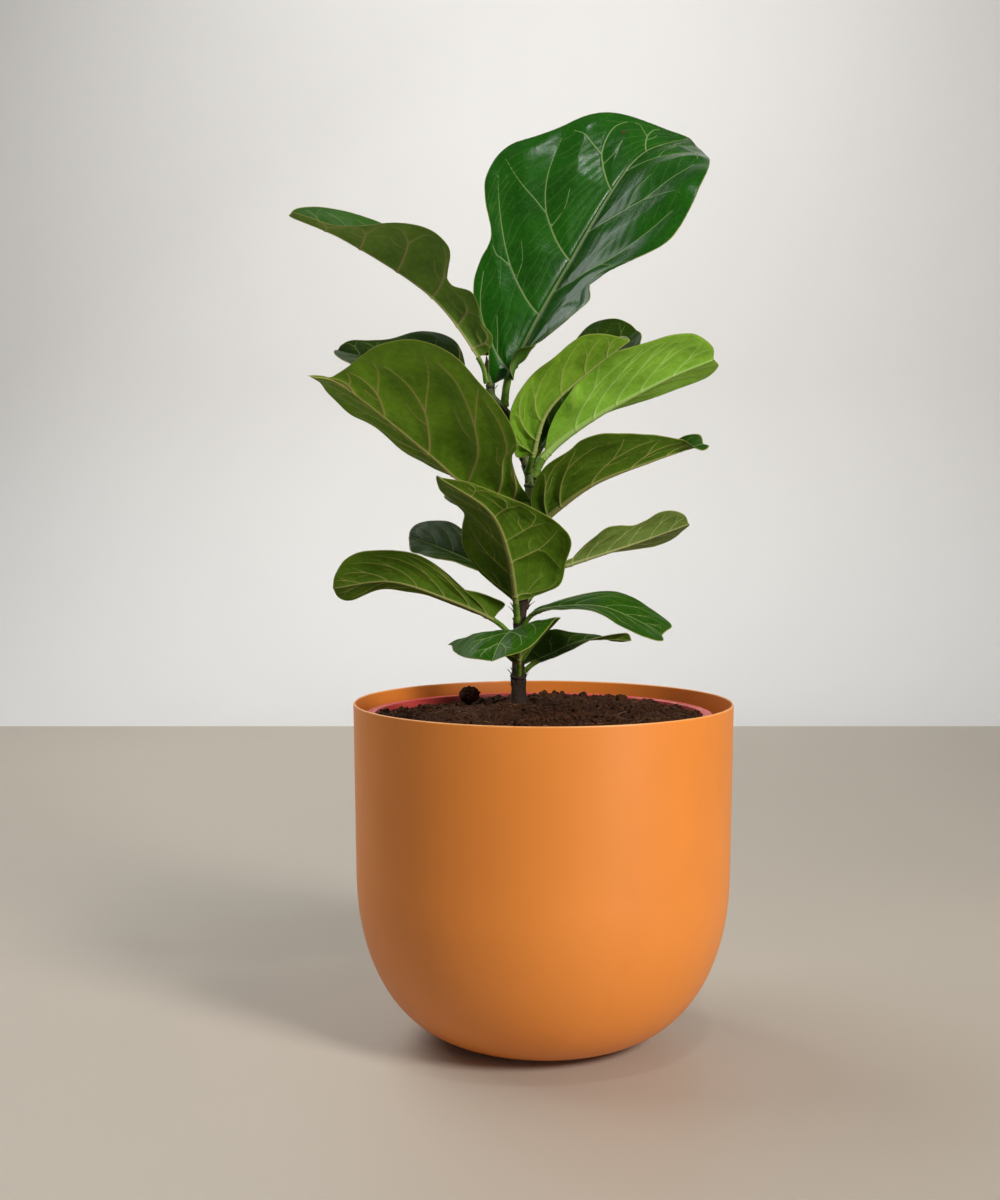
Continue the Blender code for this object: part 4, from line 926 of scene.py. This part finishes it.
LOOKS = {
    # upper dark, upper light, upper vein, lower dark, lower light, lower vein, specular level, gloss
    # The lower colours are the underside's own paler green brightened with painted light shining through the
    # leaf, most of all in the young and tender looks.
    "dark": ((0.005, 0.054, 0.0005), (0.012, 0.108, 0.001), (0.22, 0.30, 0.11),
             (0.040, 0.110, 0.006), (0.080, 0.180, 0.012), (0.28, 0.30, 0.09), 0.36, 0.22),
    # This look is a darker copy of the leaf colours: painted shade for the leaves at the back of the plant.
    "deep_in_shade": ((0.011, 0.029, 0.001), (0.024, 0.056, 0.004), (0.12, 0.17, 0.04),
             (0.035, 0.085, 0.005), (0.070, 0.140, 0.010), (0.24, 0.26, 0.07), 0.06, 0.42),
    "fresh": ((0.013, 0.062, 0.0015), (0.031, 0.106, 0.003), (0.24, 0.34, 0.11),
              (0.060, 0.140, 0.008), (0.100, 0.200, 0.016), (0.30, 0.33, 0.10), 0.05, 0.38),
    "olive": ((0.013, 0.062, 0.002), (0.028, 0.105, 0.004), (0.17, 0.25, 0.07),
              (0.062, 0.165, 0.004), (0.180, 0.350, 0.018), (0.42, 0.34, 0.12), 0.16, 0.38),
    "sage": ((0.020, 0.075, 0.006), (0.040, 0.120, 0.012), (0.17, 0.25, 0.07),
             (0.085, 0.185, 0.016), (0.205, 0.370, 0.046), (0.42, 0.36, 0.15), 0.22, 0.36),
    "pale": ((0.020, 0.070, 0.004), (0.040, 0.115, 0.008), (0.17, 0.25, 0.07),
             (0.085, 0.140, 0.018), (0.165, 0.245, 0.045), (0.34, 0.36, 0.13), 0.18, 0.38),
    "shaded": ((0.013, 0.058, 0.002), (0.028, 0.092, 0.004), (0.16, 0.23, 0.06),
               (0.036, 0.092, 0.002), (0.095, 0.185, 0.007), (0.30, 0.30, 0.085), 0.16, 0.40),
    "young": ((0.030, 0.105, 0.004), (0.060, 0.160, 0.008), (0.22, 0.30, 0.08),
              (0.125, 0.275, 0.010), (0.235, 0.430, 0.030), (0.42, 0.47, 0.14), 0.18, 0.38),
    "tender": ((0.030, 0.105, 0.004), (0.060, 0.160, 0.008), (0.22, 0.30, 0.08),
               (0.165, 0.350, 0.016), (0.300, 0.580, 0.060), (0.42, 0.62, 0.16), 0.18, 0.38),
}


def leaf_material(name, look, spot=None):
    top_dark, top_light, top_vein, low_dark, low_light, low_vein, shine, gloss = LOOKS[look]
    n = Nodes(name, IOR=1.45, Specular_IOR_Level=shine)
    top = n.span(n.attribute("top"), 0.35, 0.65)
    at = n.attribute("leaf_flat", "Vector")
    stalk = n.attribute("stalk")

    def line(signed, away, reach):
        near = n.math("ABSOLUTE", n.attribute(signed))
        return n.math("MAXIMUM", near, n.math("SUBTRACT", n.attribute(away), reach))

    def by_side(below, above):
        return n.add("ShaderNodeMix", {0: top, 2: below, 3: above}, data_type="FLOAT").outputs[0]

    vein_at = line("vein_signed", "vein_away", 1.0)
    rung_at = line("rung_signed", "rung_away", 0.5)
    rib_at = n.math("ABSOLUTE", n.attribute("rib"))
    edge = n.attribute("edge")
    wobble = n.add("ShaderNodeTexNoise", {"Vector": at, "Scale": 90.0, "Detail": 2.0}).outputs["Color"]
    shift = n.add("ShaderNodeVectorMath", {0: wobble, "Scale": 0.004}, operation="SCALE").outputs[0]
    net_at = n.add("ShaderNodeVectorMath", {0: at, 1: shift}, operation="ADD").outputs[0]
    net = n.span(n.cells(net_at, 420.0), 0.0, 0.11, 1.0, 0.0)
    cloud = n.span(n.noise(at, 28.0, 4.0, 0.6), 0.28, 0.72)
    mottle = n.span(n.noise(at, 260.0, 3.0), 0.3, 0.7)
    halo = n.span(vein_at, 0.8, 5.0, 1.0, 0.0)
    tone = n.math("ADD", n.times(cloud, 0.65), n.times(mottle, 0.3), clamp=True)

    def paint(dark, light, vein_colour, widths, shares):
        """Veins over the blade: widths of rib, vein and rung; shares of net, rung, vein and rib."""
        colour = n.mix(dark, light, tone)
        colour = n.tint(colour, light, halo, 0.4)
        rib_width, vein_width, rung_width = widths
        masks = (
            net, n.span(rung_at, 0.12, rung_width, 1.0, 0.0),
            n.span(vein_at, vein_width * 0.4, vein_width, 1.0, 0.0),
            n.span(rib_at, rib_width * 0.6, rib_width, 1.0, 0.0),
        )
        for mask, share in zip(masks, shares):
            colour = n.tint(colour, vein_colour, mask, share)
        return colour

    upper = paint(top_dark, top_light, top_vein, (0.9, 0.95, 0.45), (0.05, 0.13, 0.8, 0.9))
    lower = paint(low_dark, low_light, low_vein, (0.95, 1.2, 0.5), (0.07, 0.12, 0.85, 0.9))
    colour = n.mix(lower, upper, top)
    speck = n.span(n.noise(at, 700.0, 1.0), 0.70, 0.76)
    colour = n.tint(colour, (0.10, 0.085, 0.02), speck, 0.3)
    pale_edge = n.span(n.math("ADD", edge, n.times(mottle, 0.3)), 0.35, 0.8, 1.0, 0.0)
    colour = n.tint(colour, (0.30, 0.31, 0.07), pale_edge, 0.75)
    if spot:
        away = n.add("ShaderNodeVectorMath", {0: net_at, 1: spot}, operation="DISTANCE").outputs["Value"]
        colour = n.mix(colour, (0.085, 0.035, 0.018), n.span(away, 0.0014, 0.0034, 0.85, 0.0))
    stalk_green = n.mix((0.085, 0.180, 0.014), (0.17, 0.28, 0.034), mottle)
    scar = n.span(n.noise(at, 480.0, 4.0, 0.7), 0.55, 0.7)
    stalk_green = n.tint(stalk_green, (0.13, 0.10, 0.03), scar, 0.5)
    n.set("Base Color", n.mix(colour, stalk_green, stalk))

    veins = n.span(vein_at, 0.4, 1.2, 1.0, 0.0)
    gloss_top = n.math("ADD", n.span(veins, 0, 1, gloss, gloss + 0.08), n.times(mottle, 0.05))
    gloss_low = n.math("ADD", n.span(veins, 0, 1, 0.58, 0.46), n.times(mottle, 0.08))
    n.set("Roughness", by_side(gloss_low, gloss_top))
    sunk = n.times(net, -0.25)
    height = by_side(net, sunk)
    height = n.math("ADD", height, n.times(n.noise(at, 1500.0, 2.0), 0.2))
    n.set("Normal", n.bump(height, 0.0001, 0.7))
    return n.material


def build_leaves():
    for name, shape in LEAVES.items():
        blade = Blade(name, **shape)
        spacing = 1.35 if max(blade.widest) > 45 else 1.1
        obj = blade.build(spacing, leaf_material(name + "_skin", blade.look, blade.spot))
        place(obj, name)


# ---------------------------------------------------------------- stem, scales and bud
def tube_rings(path, radius, count):
    """Round rings along a path."""
    along = unit(np.gradient(path, axis=0))
    side = unit(np.cross(along, (0.0, 1.0, 0.0)))
    over = np.cross(side, along)
    turn = circle(count)
    return path[:, None] + radius[:, None, None] * (
        np.cos(turn)[None, :, None] * side[:, None] + np.sin(turn)[None, :, None] * over[:, None]
    )


class Gather:
    """Collects closed bodies into one mesh, with attributes."""

    def __init__(self, *names):
        self.points, self.quads, self.tris, self.count = [], [], [], 0
        self.values = {name: [] for name in names}

    def add(self, points, faces, **values):
        self.points.append(points)
        for f in faces:
            (self.quads if f.shape[1] == 4 else self.tris).append(np.asarray(f) + self.count)
        for name, found in self.values.items():
            found.append(np.broadcast_to(values.get(name, 0.0), len(points)).astype(float))
        self.count += len(points)

    def loft(self, rings, start, end, **values):
        self.add(*closed_loft(rings, start, end), **values)

    def mesh(self, name, material):
        faces = [np.concatenate(f) for f in (self.quads, self.tris) if f]
        values = {key: np.concatenate(found) for key, found in self.values.items()}
        return mesh_object(name, np.vstack(self.points), faces, values, material)


def husk(body, start, way, out, length, width, curl, seed, **values):
    """A dry papery scale: pointed, hollow towards the stem, with its tip curling away."""
    rows, count = 22, 18
    share = np.linspace(0, 1, rows)
    way, out = unit(np.asarray(way, float)), unit(np.asarray(out, float))
    across = np.cross(way, out)
    rise = length * (share - 0.12 * share ** 3)
    lean = curl * share ** 2
    centre = start + rise[:, None] * way + lean[:, None] * out
    half = width * (0.5 + 1.5 * share - 1.97 * share ** 1.7).clip(0.03)
    half = half * (1 + 0.18 * noise(np.column_stack([share * 9, share * 0, share * 0 + seed]), 1.0, seed))
    turn = circle(count)
    u = np.cos(turn)
    bow = 0.75 * (1 - u ** 2)
    thick = 0.24 * np.sin(turn)
    ripple = 0.16 * np.sin(9 * u[None] + 3 * share[:, None] + seed) * (1 - share[:, None])
    depth = half[:, None] * (bow[None] - 0.5) * 0.8 + thick[None] + ripple * 0.5
    rings = centre[:, None] + (half[:, None] * u[None])[..., None] * across + depth[..., None] * out
    body.loft(rings, rings[0].mean(0) - way * 0.2, rings[-1].mean(0) + way * 0.3 + out * 0.1, **values)


def bark_material(name, scale_like=False):
    n = Nodes(name, IOR=1.45)
    at = n.place()
    long = n.stretch(at, (1, 1, 0.28))
    fibre = n.noise(long, 900.0, 5.0, 0.65)
    patch = n.span(n.noise(at, 240.0, 4.0, 0.6), 0.35, 0.65)
    dark = n.mix((0.014, 0.007, 0.005), (0.055, 0.027, 0.016), n.span(fibre, 0.35, 0.7))
    if scale_like:
        light = n.mix((0.10, 0.040, 0.020), (0.24, 0.12, 0.06), n.span(fibre, 0.4, 0.7))
        colour = n.tint(dark, light, patch, n.attribute("pale"))
        n.set("Roughness", n.span(fibre, 0, 1, 0.5, 0.8))
    else:
        grey = n.tint(dark, (0.085, 0.052, 0.032), patch, 0.25)
        green = n.mix((0.060, 0.105, 0.018), (0.135, 0.205, 0.038), n.span(fibre, 0.3, 0.7))
        green = n.tint(green, (0.11, 0.075, 0.035), patch, 0.35)
        colour = n.mix(grey, green, n.attribute("green"))
        colour = n.mix(colour, dark, n.attribute("scar"))
        n.set("Roughness", n.math("SUBTRACT", 0.86, n.times(n.attribute("green"), 0.3)))
    n.set("Base Color", colour)
    n.set("Normal", n.bump(n.math("ADD", fibre, patch), 0.0003, 0.8))
    return n.material


def build_stem():
    rows, count = 620, 44
    line = stem_line(rows)
    path, radius = line[:, :3], line[:, 3].copy()
    height = path[:, 2] - SOIL_LEVEL
    radius += 1.5 * np.exp(-((height - 2) / 9) ** 2) + 0.5 * np.exp(-((height - 18) / 16) ** 2)
    rings = tube_rings(path, radius, count)
    flat = rings.reshape(-1, 3)
    long = flat * (1, 1, 0.35)
    rough = 0.42 * noise(long, 3.2, 3, 3) + 0.25 * noise(flat, 6.0, 5)
    z = flat[:, 2] - SOIL_LEVEL
    scar = np.zeros(len(flat))
    for k, node in enumerate(NODE_HEIGHTS):
        tilt = 1.2 * np.sin(np.arctan2(flat[:, 1] - 15, flat[:, 0] + 14) + 2.4 * k)
        scar = np.maximum(scar, np.exp(-((z - node - tilt) / 1.1) ** 2))
        lip = 0.55 * np.exp(-((z - node - 1.9 - tilt) / 0.7) ** 2)
        rough += lip - 0.4 * np.exp(-((z - node - tilt) / 0.6) ** 2)
    centre = np.repeat(path, count, axis=0)
    fade = np.clip(np.repeat(radius, count) / 4, 0.4, 1)
    flat = flat + unit(flat - centre) * rough[:, None] * fade[:, None]
    rings = flat.reshape(rows, count, 3)
    green = smooth(70, 150, z + 16 * noise(flat, 14.0, 9, 2))
    green = np.append(green, [0, 1])
    scar = np.append(scar * (0.4 + 0.6 * (noise(flat, 2.5, 12) > -0.3)), [0, 0])
    body = Gather("green", "scar")
    body.loft(rings, path[0] - (0, 0, 1), path[-1] + unit(path[-1] - path[-2]) * 1.0, green=green, scar=scar)
    rng = np.random.default_rng(4)
    for node in NODE_HEIGHTS:
        for _ in range(9 if node < 60 else 5 if node < 100 else 3):
            z0 = SOIL_LEVEL + node + rng.uniform(-1.5, 2.5)
            x, y, r = stem_at(z0)
            turn = rng.uniform(0, 2 * math.pi)
            out = np.array([math.cos(turn), math.sin(turn), 0.0])
            way = np.array([0, 0, 1.0]) + out * rng.uniform(0.1, 0.9) + rng.normal(0, 0.15, 3)
            size = rng.uniform(3.0, 6.5) * (1 if node < 100 else 0.7)
            husk(body, np.array([x, y, z0]) + out * (r - 0.3), way, out, size, size * 0.17,
                 rng.uniform(-0.5, 1.6), int(rng.integers(99)), green=0.0, scar=1.0)
    place(body.mesh("stem_visual", bark_material("bark")), "stem")


# Dry scales that clasp the stem: height above the soil, side in degrees, length, outward lean,
# greatest half width, and how pale they are.
SCALES = {
    "stipule_1": (193, -70, 17, 3.0, 1.6, 0.35),
    "stipule_2": (164, -120, 11, 3.0, 1.4, 1.0),
    "stipule_3": (144, -45, 18, 5.0, 1.5, 0.9),
    "stipule_4": (69, -5, 10, 3.5, 2.0, 1.0),
    "stipule_5": (66, 172, 9, 3.0, 1.5, 0.4),
    "stipule_6": (14, -130, 11, 3.5, 1.5, 0.3),
}


def build_scales():
    material = bark_material("dry_scale", scale_like=True)
    for k, (name, (height, side, length, lean, width, pale)) in enumerate(SCALES.items()):
        out = np.array((math.cos(math.radians(side)), math.sin(math.radians(side)), 0.0))
        x, y, radius = stem_at(SOIL_LEVEL + height)
        ahead = stem_at(SOIL_LEVEL + height + length)
        way = np.array([ahead[0] - x, ahead[1] - y, length])
        body = Gather("pale")
        start = np.array([x, y, SOIL_LEVEL + height]) + out * (radius + 0.4)
        husk(body, start, way, out, length, width * 1.25, lean * 1.1, 7 * k + 3, pale=pale)
        husk(body, start + out * 0.3 + way * 0.04, way + out * 2, out, length * 0.6, width * 0.8,
             lean, 7 * k + 5, pale=pale)
        place(body.mesh(name + "_visual", material), name)


def build_bud():
    """The closed bud at the tip: a pointed cone wrapped in two scales."""
    forward = unit(STEM_LINE[-1][:3] - STEM_LINE[-18][:3])
    start = STEM_LINE[-1][:3] - forward * 0.6
    count = 40
    share = np.linspace(0, 1, 70)
    bend = np.array((0.35, -0.2, 0.0)) * (share ** 2)[:, None] * 2
    path = start + forward * 12.4 * share[:, None] + bend
    radius = 1.9 * (0.72 + 1.15 * share - 1.85 * share ** 1.6).clip(0.05)
    rings = tube_rings(path, radius, count)
    turn = circle(count)
    lap = (turn[None] / (2 * math.pi) + share[:, None] * 0.55) % 1
    rings = path[:, None] + (rings - path[:, None]) * (1 + 0.16 * lap)[..., None]
    body = Gather("pale")
    body.loft(rings, path[0], path[-1] + forward * 0.4, pale=0.12)
    across = unit(np.cross(forward, (0, 1, 0)))
    for k, side in enumerate((across, -across)):
        husk(body, start + side * 1.5 + forward * 0.4, forward, side, 8.5, 1.7, -0.6, 31 + k, pale=0.25)
    material = bark_material("bud_scale", scale_like=True)
    place(body.mesh("terminal_bud_visual", material), "terminal_bud")


# ---------------------------------------------------------------- soil
def soil_height(x, y):
    stem_x, stem_y, _ = stem_at(SOIL_LEVEL)
    mound = 6.0 * np.exp(-((x - stem_x) ** 2 + (y - stem_y) ** 2) / 30.0 ** 2)
    sunk = 4.0 * np.exp(-((x + 85) ** 2 + (y - 60) ** 2) / 45.0 ** 2)
    heap = 1.5 * np.exp(-((x - 35) ** 2 + (y - 95) ** 2) / 35.0 ** 2)
    ripple = 0.9 * np.sin(x / 8.5 + 1.0) * np.cos(y / 7.5) + 0.6 * np.sin((x - 2 * y) / 11)
    return SOIL_LEVEL + mound - sunk + heap + ripple


def soil_surface(x, y):
    """The crumbly surface: clumps, crumbs and grains on the soil's broad shape."""
    p = np.column_stack([x, y, np.zeros_like(x)])
    clump = noise(p, 15.0, 21, 2)
    crumb = np.abs(noise(p, 5.0, 22, 2))
    grain = noise(p, 2.0, 23, 2)
    return soil_height(x, y) + 2.3 * clump + 3.0 * (0.45 - crumb) + 0.9 * grain


def soil_material():
    n = Nodes("compost", IOR=1.35, Specular_IOR_Level=0.2)
    at = n.place()
    broad = n.span(n.noise(at, 60.0, 4.0, 0.6), 0.35, 0.65)
    grain = n.noise(at, 700.0, 5.0, 0.7)
    colour = n.mix((0.0050, 0.0018, 0.0009), (0.082, 0.0300, 0.0130), n.span(grain, 0.38, 0.66))
    colour = n.tint(colour, (0.098, 0.038, 0.017), broad, 0.4)
    colour = n.tint(colour, (0.125, 0.056, 0.026), n.attribute("crumb"), 0.5)
    colour = n.mix(colour, (0.24, 0.135, 0.07), n.attribute("fibre"))
    n.set("Base Color", colour)
    n.set("Roughness", n.span(grain, 0, 1, 0.80, 0.97))
    relief = n.math("ADD", grain, n.times(n.noise(at, 2400.0, 2.0), 0.5))
    n.set("Normal", n.bump(relief, 0.0006, 0.9))
    return n.material


def ico(level):
    shell = bmesh.new()
    bmesh.ops.create_icosphere(shell, subdivisions=level, radius=1.0)
    points = np.array([v.co for v in shell.verts])
    faces = np.array([[v.index for v in f.verts] for f in shell.faces])
    shell.free()
    return points, faces


CRUMBS, BIG_CRUMBS, FIBRES, FINE_FROM = 3800, 70, 400, 1.8


def build_soil():
    rings, count = 100, 260
    share = np.linspace(0.004, 1, rings) ** 0.8
    turn = circle(count)
    reach = LIP_INNER_R - 0.9
    x = POT_X + share[:, None] * reach * np.cos(turn)
    y = share[:, None] * reach * np.sin(turn)
    z = soil_surface(x.ravel(), y.ravel()).reshape(x.shape)
    rim = smooth(0.97, 1.0, share)[:, None]
    z = z - rim * 0.8
    edge_r = np.minimum(pot_inner_radius(z[-1]) - 0.4, reach)
    x[-1], y[-1] = POT_X + edge_r * np.cos(turn), edge_r * np.sin(turn)
    top = np.stack([x, y, z], -1)
    walls = []
    for drop, gap in ((0.3, 0.5), (0.7, 0.5), (0.97, 0.5), (1.0, 3.0)):
        low = z[-1] - drop * (z[-1] - SOIL_BASE_Z)
        r = pot_inner_radius(low) - gap
        walls.append(np.stack([POT_X + r * np.cos(turn), r * np.sin(turn), low], -1))
    body = Gather("crumb", "fibre")
    whole = np.concatenate([top, np.array(walls)])
    centre = top[0].mean(0)
    points, faces = closed_loft(whole, centre, (POT_X, 0, SOIL_BASE_Z))
    body.add(points, [f[:, ::-1] for f in faces])
    rng = np.random.default_rng(8)
    shapes = {1: ico(1), 2: ico(2)}
    for k in range(CRUMBS):
        size = 0.45 + 1.9 * rng.random() ** 3.4
        if k < BIG_CRUMBS:
            size = rng.uniform(1.8, 3.2)
        angle = rng.uniform(0, 2 * math.pi)
        r = math.sqrt(rng.random()) * (reach - size * 0.9)
        cx, cy = POT_X + r * math.cos(angle), r * math.sin(angle)
        cz = float(soil_surface(np.array([cx]), np.array([cy]))[0])
        p, f = shapes[2 if size > FINE_FROM else 1]
        scale = size * rng.uniform(0.4, 1.25, 3)
        frame3 = np.linalg.qr(rng.normal(size=(3, 3)))[0]
        rough = 1 + 0.55 * noise(p * 1.4 + 10 * k % 97, 0.8, k % 50, 2)
        p = (p * rough[:, None] * scale) @ frame3.T + (cx, cy, cz + size * rng.uniform(-0.15, 0.4))
        if np.linalg.det(frame3) < 0:
            f = f[:, ::-1]
        body.add(p, [f], crumb=float(rng.random() ** 2))
    for _ in range(FIBRES):
        angle, r = rng.uniform(0, 2 * math.pi), math.sqrt(rng.random()) * (reach - 8)
        cx, cy = POT_X + r * math.cos(angle), r * math.sin(angle)
        way = rng.uniform(0, 2 * math.pi)
        size = 1.6 + 6.5 * rng.random() ** 2
        bend = rng.uniform(-0.9, 0.9)
        t = np.linspace(-1, 1, 8)
        px = cx + size * t * math.cos(way) - size * bend * t ** 2 * math.sin(way) * 0.5
        py = cy + size * t * math.sin(way) + size * bend * t ** 2 * math.cos(way) * 0.5
        pz = soil_surface(px, py)
        pz = 0.4 * pz + 0.6 * pz.mean() + rng.uniform(0.5, 1.3) + 0.8 * rng.random() * t
        path = np.column_stack([px, py, pz])
        radius = rng.uniform(0.12, 0.36) * (1 - 0.6 * np.abs(t) ** 3)
        ring = tube_rings(path, radius, 6)
        body.loft(ring, path[0], path[-1], fibre=float(rng.random() ** 2.2) * 0.9, crumb=0.6)
    obj = body.mesh("soil_visual", soil_material())
    place(obj, "soil")


CLODS = ("soil_clod_1", "soil_clod_2", "soil_clod_3")


def build_clods():
    material = soil_material()
    for k, name in enumerate(CLODS):
        low, high = [np.array(v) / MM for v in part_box(name)]
        centre, half = (low + high) / 2, (high - low) / 2
        p, f = ico(6)
        rough = 1 + 0.30 * noise(p, 0.8, 60 + k, 2) + 0.20 * noise(p, 0.25, 70 + k, 2)
        rough = rough + 0.09 * noise(p, 0.09, 80 + k)
        # The first lump stands proud of the soil, the others are half sunk in it.
        size, lift = ((1.05, 1.05, 1.25), 0.6) if k == 0 else ((0.9, 0.9, 0.9), -1.8)
        p = p * half * size * rough[:, None] + centre + (0, 0, lift)
        body = Gather("crumb", "fibre")
        body.add(p, [f], crumb=0.25)
        place(body.mesh(name + "_visual", material), name)


# ---------------------------------------------------------------- camera, floor and light
def build_stage():
    corners = [(x, y, FLOOR_Z) for x, y in ((-3000, -2500), (3000, -2500), (3000, 1500), (-3000, 1500))]
    sheet = mesh_object("floor", corners, [[(0, 1, 2, 3)]])
    n = Nodes("pale_floor", Roughness=0.55)
    at = n.place()
    n.set("Base Color", n.mix((0.45, 0.40, 0.33), (0.49, 0.435, 0.36), n.noise(at, 3.0, 3.0)))
    sheet.data.materials.append(n.material)
    steps = np.linspace(0, math.pi / 2, 24)
    rows = [(1500 + 600 * math.sin(a), FLOOR_Z + 600 * (1 - math.cos(a))) for a in steps] + [(2100, 3200)]
    points = [(x, y, z) for y, z in rows for x in (-3000, 3000)]
    faces = [(2 * k, 2 * k + 1, 2 * k + 3, 2 * k + 2) for k in range(len(rows) - 1)]
    wall = mesh_object("backdrop", points, [faces])
    w = Nodes("pale_wall", Roughness=0.8)
    w.set("Base Color", w.mix((0.70, 0.69, 0.67), (0.74, 0.73, 0.71), w.noise(w.place(), 2.0)))
    wall.data.materials.append(w.material)

    camera = bpy.data.objects.new("camera", bpy.data.cameras.new("camera"))
    camera.data.lens = 48
    camera.data.sensor_width = 36
    camera.data.dof.use_dof = False
    camera.location = (-0.0284, -1.053, 0.351)
    camera.rotation_euler = (math.pi / 2 - 0.058, 0, 0)
    bpy.context.scene.collection.objects.link(camera)
    bpy.context.scene.camera = camera

    def area(name, place_at, look_at, size, watts, colour=(1, 1, 1), spread=180):
        lamp = bpy.data.lights.new(name, "AREA")
        lamp.spread = math.radians(spread)
        lamp.shape, lamp.size, lamp.energy, lamp.color = "DISK", size, watts, colour
        obj = bpy.data.objects.new(name, lamp)
        obj.location = place_at
        obj.rotation_euler = (Vector(look_at) - Vector(place_at)).to_track_quat("-Z", "Y").to_euler()
        bpy.context.scene.collection.objects.link(obj)

    area("key", (1.25, -1.4, 1.25), (0, 0, 0.3), 0.6, 38, (1, 0.975, 0.94))
    area("fill", (1.15, -1.15, 0.22), (0, 0, 0.42), 0.5, 2.5, (1, 0.98, 0.95))
    area("window", (-1.25, 0.32, 1.65), (0, 0, 0.4), 1.2, 13, (0.96, 0.98, 1))
    area("glint", (0.30, -0.65, 2.0), (0.03, 0.04, 0.58), 0.12, 3, (0.96, 0.98, 1))
    area("back", (-0.9, 1.2, 1.6), (0, 0, 0.4), 0.9, 11, (1, 1, 0.98))
    area("wall_wash", (0, 0.6, 2.5), (0, 2.2, 1.0), 1.6, 8, spread=75)
    world = bpy.data.worlds.new("studio")
    world.use_nodes = True
    background = world.node_tree.nodes["Background"]
    background.inputs[0].default_value = (0.95, 0.96, 1.0, 1)
    background.inputs[1].default_value = 0.13
    bpy.context.scene.world = world
    bpy.context.scene.view_settings.view_transform = "Standard"


build_planter()
build_nursery_pot()
build_soil()
build_clods()
build_stem()
build_scales()
build_bud()
build_leaves()
build_stage()
